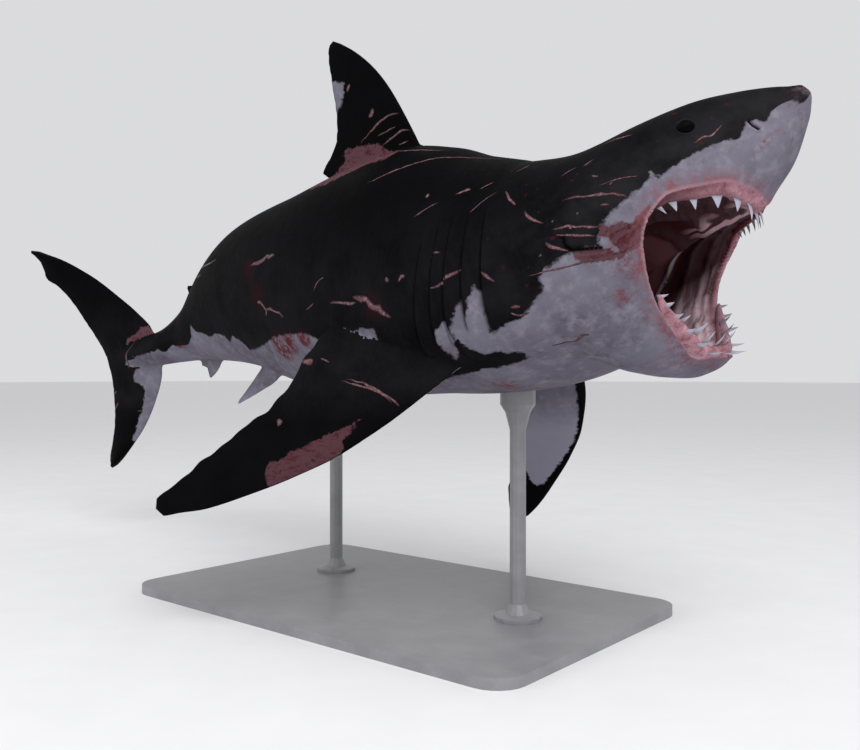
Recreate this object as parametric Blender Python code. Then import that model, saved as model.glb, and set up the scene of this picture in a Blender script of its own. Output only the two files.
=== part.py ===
"""Great white shark, life size, mouth agape, held over a flat display stand.

The fish is drawn straight and level first: a is the distance back from the
snout tip, y is to its left and z is up, all in metres. One spine of turning
frames then bends every piece into the swimming pose, so that neighbours which
meet in the straight fish still meet in the bent one.
"""
import math

import bmesh
import bpy
import numpy as np

# ---------------------------------------------------------------- driving sizes
GAP = 0.0006            # clearance between neighbouring pieces
AROUND = 28             # facets round the body
RING_STEP = 0.11        # longest step between rings of the trunk
HEAD_RINGS = 17
FIN_SHARES = (0.0, 0.04, 0.16, 0.40, 0.72, 1.0)

# Lines of the body: distance back, back height, belly depth, half width.
BODY_LINES = (
    (0.000, 0.000, 0.000, 0.000),
    (0.003, 0.046, 0.016, 0.013),
    (0.012, 0.060, 0.032, 0.026),
    (0.030, 0.075, 0.052, 0.045),
    (0.050, 0.088, 0.067, 0.063),
    (0.150, 0.149, 0.137, 0.149),
    (0.280, 0.219, 0.199, 0.226),
    (0.450, 0.272, 0.375, 0.345),
    (0.550, 0.296, 0.488, 0.395),
    (0.620, 0.318, 0.545, 0.408),
    (0.680, 0.342, 0.556, 0.410),
    (0.750, 0.375, 0.546, 0.414),
    (0.820, 0.407, 0.498, 0.420),
    (0.880, 0.430, 0.438, 0.427),
    (0.930, 0.447, 0.388, 0.433),
    (1.000, 0.477, 0.388, 0.443),
    (1.250, 0.552, 0.377, 0.462),
    (1.500, 0.624, 0.372, 0.466),
    (1.750, 0.648, 0.403, 0.465),
    (2.000, 0.599, 0.444, 0.450),
    (2.500, 0.450, 0.476, 0.384),
    (3.000, 0.387, 0.362, 0.297),
    (3.500, 0.268, 0.212, 0.186),
    (3.750, 0.172, 0.143, 0.146),
    (4.000, 0.104, 0.105, 0.128),
    (4.200, 0.088, 0.088, 0.080),
    (4.400, 0.070, 0.070, 0.020),
)
# Fullness of the lower half of a section: 2 is an ellipse, less is a keel.
KEEL_LINES = ((0.0, 2.0), (0.45, 1.9), (0.68, 1.6), (0.90, 2.0), (3.30, 2.0), (3.90, 1.45), (4.40, 1.4))

# Spine: distance back, then the yaw, pitch and roll of the fish relative to its head.
SPINE = (
    (0.00, 0.0, 0.0, 0.0),
    (0.60, 0.0, 0.0, 0.0),
    (1.25, -10.3, 24.7, -5.7),
    (2.00, -13.0, 41.6, -3.0),
    (2.75, -14.3, 27.7, 0.9),
    (3.40, -11.4, 16.9, 1.6),
    (3.90, 2.7, 20.3, 2.8),
    (4.30, 8.2, 26.7, 3.9),
    (5.10, -18.7, 30.9, 5.0),
)
SPINE_STEP = 0.01
HEAD_TURN = (1.6, -32.7, 6.5)           # yaw, pitch and roll of the head, degrees
SNOUT_AT = (2.3955, -0.019, 1.87)       # place of the snout tip over the floor

# Rim of the open mouth: distance back and height, from the upper lip down to the chin.
# The right corner is torn and drawn back; on the left a cheek fold bridges the jaws.
UPPER_LIP = (0.285, -0.201)
CHIN = (0.660, -0.526)
RIGHT_RIM = (
    (0.270, -0.181), (0.274, -0.160), (0.287, -0.132), (0.308, -0.110), (0.334, -0.099), (0.369, -0.084),
    (0.407, -0.070), (0.442, -0.062), (0.478, -0.073), (0.518, -0.094), (0.562, -0.133), (0.598, -0.186),
    (0.628, -0.238), (0.652, -0.290), (0.667, -0.334), (0.673, -0.383), (0.679, -0.449), (0.680, -0.503),
)
LEFT_RIM = (
    (0.270, -0.181), (0.274, -0.160), (0.287, -0.132), (0.308, -0.110), (0.334, -0.101), (0.369, -0.096),
    (0.402, -0.108), (0.430, -0.132), (0.457, -0.160), (0.487, -0.184), (0.526, -0.202), (0.572, -0.224),
    (0.612, -0.254), (0.645, -0.294), (0.664, -0.336), (0.674, -0.384), (0.679, -0.449), (0.680, -0.503),
)
# Throat: copies of the rim moved back and up, with their shrinkage in height and width.
THROAT_MIDDLE = (0.53, -0.28)
THROAT = (
    (0.10, 0.03, 0.92, 0.86),
    (0.22, 0.07, 0.78, 0.72),
    (0.36, 0.10, 0.55, 0.52),
    (0.50, 0.12, 0.34, 0.34),
    (0.60, 0.13, 0.15, 0.16),
)
GAPE = (-0.66, -0.75)                   # way out of the mouth, back and up
GAPE_REACH = ((0.60, 1.6), (0.05, 1.3))  # distances out of the mouth, and the flare there

EYE_AT = (0.304, 0.187, 0.097)
EYE_RADIUS = 0.034

GUM_HALF_HEIGHT = 0.032
GUM_HALF_THICK = 0.021
UPPER_GUM_LIFT = 0.020                  # how far a gum's middle stands out of the lip
LOWER_GUM_LIFT = (-0.014, 0.0095)       # the same at the chin, and what each rim point adds
UPPER_GUM_INSET = 0.046                 # distance of each gum's middle inside the lip
LOWER_GUM_INSET = 0.024
GUM_FACETS = 8
UPPER_GUM_SPAN = (9, 9)                 # rim points on the left and right that a gum follows
LOWER_GUM_SPAN = (2, 4)
UPPER_WAY = (0.45, 0.0, -0.89)         # way that each gum stands out
LOWER_WAY = (-0.98, 0.0, -0.20)
TOOTH_SPLAY = 0.25                      # outward lean of the teeth at the chin
UPPER_TEETH = 8                         # on each side
LOWER_TEETH = 7
INNER_TEETH = 8
TOOTH_HEIGHT = 0.050
TOOTH_WIDTH = 0.038
TOOTH_THICK = 0.010

TONGUE_TIP = (0.735, 0.0, -0.466)
TONGUE_ROOT = (0.935, 0.0, -0.318)
TONGUE_HALF_WIDTH = 0.085
TONGUE_HALF_HEIGHT = 0.034

# Pectoral fins: way out, leading edge, trailing edge. Water bends their rear edges unalike.
PECTORAL_RIGHT_LINES = (
    (-0.20, -0.085, 0.530),
    (0.00, -0.095, 0.525),
    (0.20, -0.106, 0.412),
    (0.40, -0.099, 0.322),
    (0.60, -0.060, 0.272),
    (0.80, 0.000, 0.264),
    (0.95, 0.056, 0.246),
    (1.05, 0.114, 0.222),
    (1.10, 0.148, 0.206),
    (1.125, 0.174, 0.192),
)
PECTORAL_LEFT_LINES = (
    (-0.20, -0.100, 0.400),
    (0.00, -0.118, 0.375),
    (0.20, -0.146, 0.245),
    (0.40, -0.128, 0.186),
    (0.60, -0.070, 0.196),
    (0.80, 0.014, 0.234),
    (0.95, 0.084, 0.260),
    (1.05, 0.142, 0.260),
    (1.09, 0.172, 0.250),
    (1.108, 0.198, 0.234),
)
PECTORAL_ROOT = (1.40, 0.409, -0.246)
PECTORAL_RIGHT = (35.9, 37.4, 25.8)     # sweep, droop and twist, degrees
PECTORAL_LEFT = (22.5, 62.6, -11.9)

# Fins on the midline: height, leading edge and trailing edge distances back.
DORSAL_LINES = (
    (0.400, 1.560, 2.300),
    (0.500, 1.640, 2.305),
    (0.530, 1.665, 2.356),
    (0.600, 1.728, 2.310),
    (0.680, 1.798, 2.264),
    (0.774, 1.876, 2.255),
    (0.896, 1.981, 2.266),
    (0.980, 2.068, 2.272),
    (1.050, 2.160, 2.276),
    (1.085, 2.218, 2.266),
    (1.100, 2.242, 2.258),
)
CAUDAL_LINES = (
    (-0.700, 4.618, 4.632),
    (-0.650, 4.520, 4.636),
    (-0.560, 4.398, 4.592),
    (-0.450, 4.275, 4.540),
    (-0.300, 4.160, 4.502),
    (-0.150, 4.075, 4.490),
    (0.000, 4.040, 4.508),
    (0.140, 4.090, 4.578),
    (0.250, 4.190, 4.650),
    (0.380, 4.345, 4.735),
    (0.500, 4.500, 4.838),
    (0.560, 4.592, 4.918),
    (0.660, 4.765, 4.930),
    (0.725, 4.910, 4.970),
    (0.755, 4.972, 4.988),
)
SECOND_DORSAL_LINES = (
    (0.120, 3.470, 3.640),
    (0.215, 3.520, 3.690),
    (0.235, 3.550, 3.672),
    (0.262, 3.592, 3.668),
    (0.285, 3.640, 3.676),
)
ANAL_LINES = (
    (-0.266, 3.690, 3.712),
    (-0.240, 3.625, 3.706),
    (-0.205, 3.565, 3.704),
    (-0.172, 3.520, 3.745),
    (-0.090, 3.470, 3.700),
)
PELVIC_ROOT = (2.80, 0.150, -0.350)
PELVIC_SET = (52.0, 48.0, 0.0)
PELVIC_LINES = (
    (-0.10, -0.11, 0.170),
    (0.00, -0.11, 0.165),
    (0.10, -0.08, 0.120),
    (0.20, -0.040, 0.080),
    (0.29, 0.005, 0.062),
    (0.345, 0.034, 0.055),
)

# Cuts across the body, from the head to the tail fin.
GILLS_START = 1.00
GILLS_END = 1.58
FRONT_TRUNK_END = 2.45
REAR_TRUNK_END = 3.32
STALK_END = 4.02
JAW_CUT_FRONT = (0.55, -0.165)
JAW_CUT_BACK = (1.00, -0.400)

STAND_SIZE = (2.10, 1.30, 0.040)
STAND_CORNER = 0.12
STAND_CENTRE = (0.62, 0.03)
ROD_RADIUS = 0.032
ROD_FACETS = 12
ROD_STATIONS = (1.30, 2.45)

COLLECTION = "great_white_shark"


# ---------------------------------------------------------------- curves
def smooth(at, table, column):
    """Value of a table's column at a distance, on a curve that never overshoots."""
    rows = np.array(table, float)
    xs = rows[:, 0]
    ys = rows[:, column]
    step = np.diff(xs)
    slope = np.diff(ys) / step
    tangent = np.zeros(len(xs))
    for i in range(1, len(xs) - 1):
        before = slope[i - 1]
        after = slope[i]
        if before * after > 0:
            lead = 2 * step[i] + step[i - 1]
            trail = step[i] + 2 * step[i - 1]
            tangent[i] = (lead + trail) / (lead / before + trail / after)
    tangent[0] = slope[0]
    tangent[-1] = end_tangent(step[-1], step[-2], slope[-1], slope[-2])
    at = np.clip(np.asarray(at, float), xs[0], xs[-1])
    k = np.clip(np.searchsorted(xs, at, side="right") - 1, 0, len(xs) - 2)
    t = (at - xs[k]) / step[k]
    rise = ys[k] * (1 + 2 * t) * (1 - t) ** 2 + ys[k + 1] * t * t * (3 - 2 * t)
    return rise + step[k] * t * (1 - t) * (tangent[k] * (1 - t) - tangent[k + 1] * t)


def end_tangent(last, inner, last_slope, inner_slope):
    """Slope at the end of a table, from its last two intervals."""
    value = ((2 * last + inner) * last_slope - last * inner_slope) / (last + inner)
    if value * last_slope <= 0:
        return 0.0
    if last_slope * inner_slope < 0 and abs(value) > 3 * abs(last_slope):
        return 3 * last_slope
    return value


def turn(yaw, pitch, roll):
    """Rotation matrix of a yaw, a nose-down pitch and a left-side-up roll, in degrees."""
    cy, sy = math.cos(math.radians(yaw)), math.sin(math.radians(yaw))
    cp, sp = math.cos(math.radians(pitch)), math.sin(math.radians(pitch))
    cr, sr = math.cos(math.radians(roll)), math.sin(math.radians(roll))
    about_z = np.array([[cy, -sy, 0], [sy, cy, 0], [0, 0, 1]])
    about_y = np.array([[cp, 0, sp], [0, 1, 0], [-sp, 0, cp]])
    about_x = np.array([[1, 0, 0], [0, cr, -sr], [0, sr, cr]])
    return about_z @ about_y @ about_x


# ---------------------------------------------------------------- pose
def spine_frames():
    """Places and rotations of the frames along the bent spine."""
    stations = np.arange(-0.1, 5.5, SPINE_STEP)
    angles = [smooth(stations, SPINE, column) for column in (1, 2, 3)]
    turns = np.array([turn(*row) for row in zip(*angles)])
    ahead = (turns[:-1, :, 0] + turns[1:, :, 0]) / 2
    places = np.vstack([np.zeros(3), np.cumsum(-ahead * SPINE_STEP, axis=0)])
    places -= places[int(round(0.1 / SPINE_STEP))]
    head = turn(*HEAD_TURN)
    return stations, places @ head.T + np.array(SNOUT_AT), head @ turns


def fin_hold(points):
    """How far a point follows the pectoral fins' root and not the spine beside it."""
    a, y, z = points.T
    at = np.clip(a, BODY_LINES[1][0], BODY_LINES[-1][0])
    reach = np.hypot(y / smooth(at, BODY_LINES, 3), z / smooth(at, BODY_LINES, 2))
    held = np.clip((reach - 1.1) / 0.5, 0, 1)
    held = held * held * (3 - 2 * held)
    return np.where((a > 1.15) & (a < 2.62) & (z < -0.1), held, 0.0)


def pose(points):
    """Bent place of points of the straight fish."""
    stations, places, turns = FRAMES
    points = np.asarray(points, float)
    held = fin_hold(points)
    hub = points[:, 0] * (1 - held) + PECTORAL_ROOT[0] * held
    at = (hub - stations[0]) / SPINE_STEP
    k = np.clip(at.astype(int), 0, len(stations) - 2)
    t = (at - k)[:, None]
    place = places[k] * (1 - t) + places[k + 1] * t
    frame = turns[k] * (1 - t[:, :, None]) + turns[k + 1] * t[:, :, None]
    local = np.stack([hub - points[:, 0], points[:, 1], points[:, 2]], axis=1)
    return place + np.einsum("nij,nj->ni", frame, local)


FRAMES = spine_frames()


# ---------------------------------------------------------------- mesh helpers
def paint(obj, name, colour, roughness, metallic=0.0):
    """Gives a piece its plain material, made once for each name."""
    mat = bpy.data.materials.get(name)
    if mat is None:
        mat = bpy.data.materials.new(name)
        mat.use_nodes = True
        shader = mat.node_tree.nodes["Principled BSDF"]
        shader.inputs["Base Color"].default_value = (*colour, 1.0)
        shader.inputs["Roughness"].default_value = roughness
        shader.inputs["Metallic"].default_value = metallic
        mat.diffuse_color = (*colour, 1.0)
    obj.data.materials.clear()
    obj.data.materials.append(mat)


def dark_skin(obj):
    """Charcoal back and flanks."""
    paint(obj, "dark_skin", (0.030, 0.031, 0.035), 0.45)


def pale_skin(obj):
    """Lavender grey underside."""
    paint(obj, "pale_skin", (0.20, 0.20, 0.24), 0.5)


def gum_flesh(obj):
    """Wet pink gum."""
    paint(obj, "gum_flesh", (0.35, 0.13, 0.13), 0.35)


def eye_black(obj):
    """Glossy black eye."""
    paint(obj, "eye_black", (0.004, 0.004, 0.005), 0.08)


def stand_paint(obj):
    """Satin grey paint of the stand."""
    paint(obj, "stand_paint", (0.25, 0.25, 0.26), 0.4)


def collection(name):
    """Collection of that name under the scene."""
    found = bpy.data.collections.get(name)
    if found is None:
        found = bpy.data.collections.new(name)
        bpy.context.scene.collection.children.link(found)
    return found


def mesh_object(name, bm, group):
    """Object made from a finished bmesh."""
    bmesh.ops.recalc_face_normals(bm, faces=bm.faces)
    mesh = bpy.data.meshes.new(name)
    bm.to_mesh(mesh)
    bm.free()
    obj = bpy.data.objects.new(name, mesh)
    collection(group).objects.link(obj)
    return obj


def loft(name, rings, group=COLLECTION, bent=True):
    """Closed solid of triangles through rings of equal count; one point makes a tip."""
    bm = bmesh.new()
    rows = []
    for ring in rings:
        places = pose(ring) if bent else ring
        rows.append([bm.verts.new(tuple(point)) for point in places])
    for near, far in zip(rows[:-1], rows[1:]):
        count = max(len(near), len(far))
        for i in range(count):
            j = (i + 1) % count
            if len(far) > 1:
                bm.faces.new((near[i % len(near)], far[i], far[j]))
            if len(near) > 1:
                bm.faces.new((near[i], far[j % len(far)], near[j]))
    for row in (rows[0], rows[-1]):
        if len(row) > 1:
            bm.faces.new(row)
    return mesh_object(name, bm, group)


def carve(obj, other, operation="DIFFERENCE"):
    """Applies an exact Boolean with another object, then drops that object."""
    modifier = obj.modifiers.new("carve", "BOOLEAN")
    modifier.object = other
    modifier.operation = operation
    modifier.solver = "EXACT"
    graph = bpy.context.evaluated_depsgraph_get()
    mesh = bpy.data.meshes.new_from_object(obj.evaluated_get(graph))
    obj.modifiers.clear()
    obj.data = mesh
    bpy.data.objects.remove(other)


def copy_of(obj, name):
    """Copy of an object with a mesh of its own."""
    twin = bpy.data.objects.new(name, obj.data.copy())
    collection(COLLECTION).objects.link(twin)
    return twin


def finish(obj, look):
    """Triangulates a piece, shades it and paints it."""
    bm = bmesh.new()
    bm.from_mesh(obj.data)
    bmesh.ops.triangulate(bm, faces=bm.faces)
    bm.to_mesh(obj.data)
    bm.free()
    obj.data.shade_smooth()
    obj.data.set_sharp_from_angle(angle=math.radians(50))
    look(obj)


# ---------------------------------------------------------------- body sections
def superellipse(width, top, bottom, upper, lower, count=AROUND):
    """Outline of a section, from its left side over the back."""
    outline = []
    for i in range(count):
        angle = 2 * math.pi * i / count
        c, s = math.cos(angle), math.sin(angle)
        power = 2 / (upper if s > 0 else lower)
        height = top if s > 0 else bottom
        y = width * math.copysign(abs(c) ** power, c)
        outline.append((y, height * math.copysign(abs(s) ** power, s)))
    return outline


def section(a, grow=0.0):
    """Ring of the body at a distance back, grown outwards by a margin."""
    top, bottom, side = [float(smooth(a, BODY_LINES, column)) + grow for column in (1, 2, 3)]
    keel = float(smooth(a, KEEL_LINES, 1))
    upper = keel if a > 3.3 else 2.0
    return [(a, y, z) for y, z in superellipse(side, top, bottom, upper, keel)]


def stations_between(start, end):
    """Even distances back from start to end, inset from both cuts by half the gap."""
    count = int(math.ceil((end - start) / RING_STEP)) + 1
    return list(np.linspace(start + GAP / 2, end - GAP / 2, count))


def body_length(name, start, end):
    """Length of the body between two cuts."""
    return loft(name, [section(a) for a in stations_between(start, end)])


def grown_body():
    """Trunk with the margin that its fins and rods keep from it."""
    cuts = (GILLS_START, GILLS_END, FRONT_TRUNK_END, REAR_TRUNK_END, STALK_END)
    stations = []
    for start, end in zip(cuts[:-1], cuts[1:]):
        stations += stations_between(start, end)
    return loft("grown_body", [section(a, GAP) for a in stations], "cutters")


def half_width(a, z):
    """Half width of the body at a distance back and a height."""
    top, bottom, side = [float(smooth(a, BODY_LINES, column)) for column in (1, 2, 3)]
    keel = float(smooth(a, KEEL_LINES, 1)) if z < 0 else 2.0
    share = min(abs(z) / (top if z > 0 else bottom), 1.0)
    return side * (1 - share ** keel) ** (1 / keel)


# ---------------------------------------------------------------- mouth
def mouth_rim():
    """Closed loop of the lips, from the middle of the upper lip down the left side."""
    left = [(a, half_width(a, z), z) for a, z in LEFT_RIM]
    right = [(a, -half_width(a, z), z) for a, z in reversed(RIGHT_RIM)]
    return [(UPPER_LIP[0], 0.0, UPPER_LIP[1])] + left + [(CHIN[0], 0.0, CHIN[1])] + right


def throat_loop(rim, back, up, tall, wide):
    """Copy of the rim shrunk about its middle and set back down the throat."""
    loop = []
    for a, y, z in rim:
        new_a = THROAT_MIDDLE[0] + back + (a - THROAT_MIDDLE[0]) * tall
        new_z = THROAT_MIDDLE[1] + up + (z - THROAT_MIDDLE[1]) * tall
        loop.append((new_a, y * wide, new_z))
    return loop


def mouth_cutter():
    """Hollow of the open mouth, from in front of the lips to the back of the throat."""
    rim = mouth_rim()
    outer = []
    for reach, flare in GAPE_REACH:
        outer.append([(a + reach * GAPE[0], y * flare, z + reach * GAPE[1]) for a, y, z in rim])
    inner = [throat_loop(rim, *row) for row in THROAT]
    return loft("mouth_cutter", outer + [rim] + inner, "cutters")


def unit(vector):
    """Vector of length one."""
    return vector / np.linalg.norm(vector)


def gum_path(upper):
    """Points along a gum's middle, each with its directions along, out and in, and its size."""
    rim = mouth_rim()
    count = len(rim)
    inner = throat_loop(rim, *THROAT[0])
    left, right = UPPER_GUM_SPAN if upper else LOWER_GUM_SPAN
    first = -right if upper else count // 2 - left
    last = left if upper else count // 2 + right
    way = np.array(UPPER_WAY if upper else LOWER_WAY)
    inset = UPPER_GUM_INSET if upper else LOWER_GUM_INSET
    chin, step = LOWER_GUM_LIFT
    path = []
    for i in range(first, last + 1):
        here = np.array(rim[i % count])
        tangent = unit(np.array(rim[(i + 1) % count]) - np.array(rim[(i - 1) % count]))
        out = unit(way - tangent * (way @ tangent))
        side = np.cross(tangent, out)
        if side @ (np.array(inner[i % count]) - here) < 0:
            side = -side
        size = math.sin(math.pi * (i - first + 0.6) / (last - first + 1.2)) ** 0.4
        lift = UPPER_GUM_LIFT * size if upper else chin + step * abs(i - count // 2)
        centre = here + side * inset + out * lift
        path.append((centre, tangent, out, side, size))
    return path


def gum_band(name, upper, grow=0.0, group=COLLECTION):
    """Fleshy band along the lip that carries the teeth."""
    angles = [2 * math.pi * k / GUM_FACETS for k in range(GUM_FACETS)]
    rings = []
    for centre, _, out, side, size in gum_path(upper):
        tall = GUM_HALF_HEIGHT * size + grow
        thick = GUM_HALF_THICK * size + grow
        rings.append([centre + out * tall * math.cos(t) + side * thick * math.sin(t) for t in angles])
    return loft(name, rings, group)


def along(path, share):
    """Point, directions and size at a share of the way along a gum."""
    at = share * (len(path) - 1)
    k = min(int(at), len(path) - 2)
    t = at - k
    return [path[k][n] * (1 - t) + path[k + 1][n] * t for n in range(5)]


def tooth(bm, centre, tangent, out, side, point, size, gum, grow):
    """Four-edged blade rooted in the gum, grown outwards by a margin."""
    foot = centre + out * (GUM_HALF_HEIGHT * gum * 0.40 - 2 * grow)
    wide = tangent * (TOOTH_WIDTH * size / 2 + 3 * grow)
    thick = side * (TOOTH_THICK * size / 2 + 2 * grow)
    tip = centre + out * GUM_HALF_HEIGHT * gum * 0.9 + point * (TOOTH_HEIGHT * size + 8 * grow)
    corners = [foot + wide, foot + thick, foot - wide, foot - thick]
    base = [bm.verts.new(tuple(corner)) for corner in pose(corners)]
    top = bm.verts.new(tuple(pose([tip])[0]))
    bm.faces.new(base)
    for i in range(4):
        bm.faces.new((base[i], base[(i + 1) % 4], top))


def teeth(name, upper, grow=0.0):
    """Rows of teeth of one jaw, as separate blades in one mesh."""
    path = gum_path(upper)
    count = UPPER_TEETH if upper else LOWER_TEETH
    bm = bmesh.new()
    for i in range(2 * count):
        share = (i + 0.8) / (2 * count + 0.6)
        centre, tangent, out, side, gum = along(path, share)
        middle = 1 - abs(2 * share - 1)
        splay = 0.10 if upper else TOOTH_SPLAY * middle
        size = (0.50 + 0.50 * math.sqrt(middle)) * (1.0 if upper else 0.8)
        tooth(bm, centre - side * 0.006, tangent, out, side, unit(out - side * splay), size, gum, grow)
    for i in range(0 if upper else INNER_TEETH):
        share = 0.25 + 0.5 * (i + 0.5) / INNER_TEETH
        centre, tangent, out, side, gum = along(path, share)
        tooth(bm, centre + side * 0.010, tangent, out, side, unit(out + side * 0.6), 0.8, gum, grow)
    return mesh_object(name, bm, "cutters")


def gum_with_teeth(name, upper):
    """One jaw's gum and teeth as one body."""
    gum = gum_band(name, upper)
    carve(gum, teeth(name + "_blades", upper), "UNION")
    finish(gum, gum_flesh)


def tongue_solid(name, grow=0.0, group=COLLECTION):
    """Short thick tongue on the floor of the mouth."""
    rings = [[TONGUE_TIP]]
    for i in range(1, 8):
        share = i / 8
        swell = math.sqrt(1 - (2 * share - 1) ** 2)
        a, y, z = np.array(TONGUE_TIP) * (1 - share) + np.array(TONGUE_ROOT) * share
        outline = superellipse(TONGUE_HALF_WIDTH * swell + grow, TONGUE_HALF_HEIGHT * swell + grow,
                               TONGUE_HALF_HEIGHT * swell + grow, 2.0, 2.0, 12)
        rings.append([(a, y + dy, z + dz) for dy, dz in outline])
    rings.append([TONGUE_ROOT])
    return loft(name, rings, group)


# ---------------------------------------------------------------- head
def head_frame(point):
    """World place of a point given back, left and up from the snout in the head's own frame."""
    local = np.array([-point[0], point[1], point[2]])
    return turn(*HEAD_TURN) @ local + np.array(SNOUT_AT)


def jaw_wedge(name, drop):
    """Block that holds the lower jaw, lowered by half the gap on either side of the cut."""
    outline = (JAW_CUT_FRONT, JAW_CUT_BACK, (1.25, -0.55), (1.25, -1.0), (0.42, -1.0), (0.42, -0.30))
    rings = []
    for y in (-0.8, 0.8):
        rings.append([head_frame((a, y, z - drop)) for a, z in outline])
    return loft(name, rings, "cutters", bent=False)


def eyeball(name, side, radius, group=COLLECTION):
    """Round eye set in the side of the head."""
    bm = bmesh.new()
    bmesh.ops.create_uvsphere(bm, u_segments=14, v_segments=8, radius=radius)
    a, y, z = EYE_AT
    bmesh.ops.translate(bm, verts=bm.verts, vec=tuple(head_frame((a, side * y, z))))
    bmesh.ops.triangulate(bm, faces=bm.faces)
    return mesh_object(name, bm, group)


def head_solid():
    """Head and lower jaw in one, before the mouth is opened."""
    shares = np.linspace(0, 1, HEAD_RINGS) ** 1.8
    rings = [section(GILLS_START * share - GAP / 2) for share in shares[1:]]
    return loft("head", [[(0.0, 0.0, 0.0)]] + rings)


def make_head():
    """Head with its eyes, lower jaw, tongue, gums and teeth."""
    head = head_solid()
    carve(head, mouth_cutter())
    carve(head, tongue_solid("tongue_room", GAP, "cutters"))
    jaw = copy_of(head, "lower_jaw")
    carve(jaw, jaw_wedge("jaw_block", GAP / 2), "INTERSECT")
    carve(head, jaw_wedge("jaw_room", -GAP / 2))
    for piece, upper in ((head, True), (head, False), (jaw, False)):
        carve(piece, gum_band("gum_room", upper, GAP, "cutters"))
        carve(piece, teeth("teeth_room", upper, GAP))
    for side, name in ((1, "eye_left"), (-1, "eye_right")):
        carve(head, eyeball(name + "_socket", side, EYE_RADIUS + GAP, "cutters"))
        finish(eyeball(name, side, EYE_RADIUS), eye_black)
    finish(head, dark_skin)
    finish(jaw, pale_skin)
    finish(tongue_solid("tongue"), gum_flesh)
    gum_with_teeth("upper_teeth", True)
    gum_with_teeth("lower_teeth", False)


def make_trunk():
    """Body behind the head, as far as the tail stalk."""
    gills = body_length("gills", GILLS_START, GILLS_END)
    carve(gills, mouth_cutter())
    carve(gills, tongue_solid("tongue_room", GAP, "cutters"))
    finish(gills, dark_skin)
    finish(body_length("trunk_front", GILLS_END, FRONT_TRUNK_END), dark_skin)
    finish(body_length("trunk_rear", FRONT_TRUNK_END, REAR_TRUNK_END), dark_skin)
    finish(body_length("tail_stalk", REAR_TRUNK_END, STALK_END), dark_skin)


# ---------------------------------------------------------------- fins
def blade_ring(front, back, normal, thick):
    """Streamlined section from a leading to a trailing edge."""
    front = np.array(front, float)
    chord = np.array(back, float) - front
    upper = []
    lower = []
    for share in FIN_SHARES:
        swell = 2.6 * math.sqrt(share) * (1 - share) + 0.06
        offset = np.array(normal) * thick * swell / 2
        upper.append(front + chord * share + offset)
        lower.append(front + chord * share - offset)
    return upper + lower[::-1]


def upright_fin(name, lines, thick, taper):
    """Fin on the midline, from a table of heights and edges."""
    rings = []
    for row, (z, front, back) in enumerate(lines):
        share = row / (len(lines) - 1)
        width = thick * (1 - taper * share)
        rings.append(blade_ring((front, 0, z), (back, 0, z), (0, 1, 0), width))
    return loft(name, rings)


def fin_axes(side, sweep, droop, twist):
    """Directions out along a paired fin, aft along its chord and across its blade."""
    sweep, droop, twist = [math.radians(angle) for angle in (sweep, droop, twist)]
    out = np.array([math.sin(sweep), side * math.cos(sweep) * math.cos(droop), -math.cos(sweep) * math.sin(droop)])
    aft = np.array([1.0, 0.0, 0.0])
    aft -= out * (out @ aft)
    aft /= np.linalg.norm(aft)
    across = np.cross(out, aft) * -side
    chord = math.cos(twist) * aft + math.sin(twist) * across
    return out, chord, np.cross(out, chord)


def paired_fin(name, side, root, angles, lines, thick):
    """Fin on one side, lofted outwards from its root."""
    out, chord, across = fin_axes(side, *angles)
    base = np.array([root[0], side * root[1], root[2]])
    reach = lines[-1][0]
    rings = []
    for r, front, back in lines:
        width = thick * (1 - 0.8 * max(r, 0) / reach)
        middle = base + out * r
        rings.append(blade_ring(middle + chord * front, middle + chord * back, across, width))
    return loft(name, rings)


def make_fins():
    """All fins, each trimmed to the skin it stands on."""
    fins = [
        upright_fin("dorsal_fin", DORSAL_LINES, 0.075, 0.85),
        upright_fin("second_dorsal_fin", SECOND_DORSAL_LINES, 0.018, 0.7),
        upright_fin("anal_fin", ANAL_LINES[::-1], 0.018, 0.7),
        paired_fin("pectoral_fin_right", -1, PECTORAL_ROOT, PECTORAL_RIGHT, PECTORAL_RIGHT_LINES, 0.070),
        paired_fin("pectoral_fin_left", 1, PECTORAL_ROOT, PECTORAL_LEFT, PECTORAL_LEFT_LINES, 0.070),
        paired_fin("pelvic_fin_right", -1, PELVIC_ROOT, PELVIC_SET, PELVIC_LINES, 0.026),
        paired_fin("pelvic_fin_left", 1, PELVIC_ROOT, PELVIC_SET, PELVIC_LINES, 0.026),
    ]
    for fin in fins:
        carve(fin, grown_body())
        finish(fin, dark_skin)
    tail = upright_fin("caudal_fin", CAUDAL_LINES, 0.050, 0.0)
    stations = [STALK_END + GAP / 2, 4.10, 4.20, 4.30, 4.40]
    carve(tail, loft("tail_core", [section(a) for a in stations], "cutters"), "UNION")
    finish(tail, dark_skin)


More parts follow.
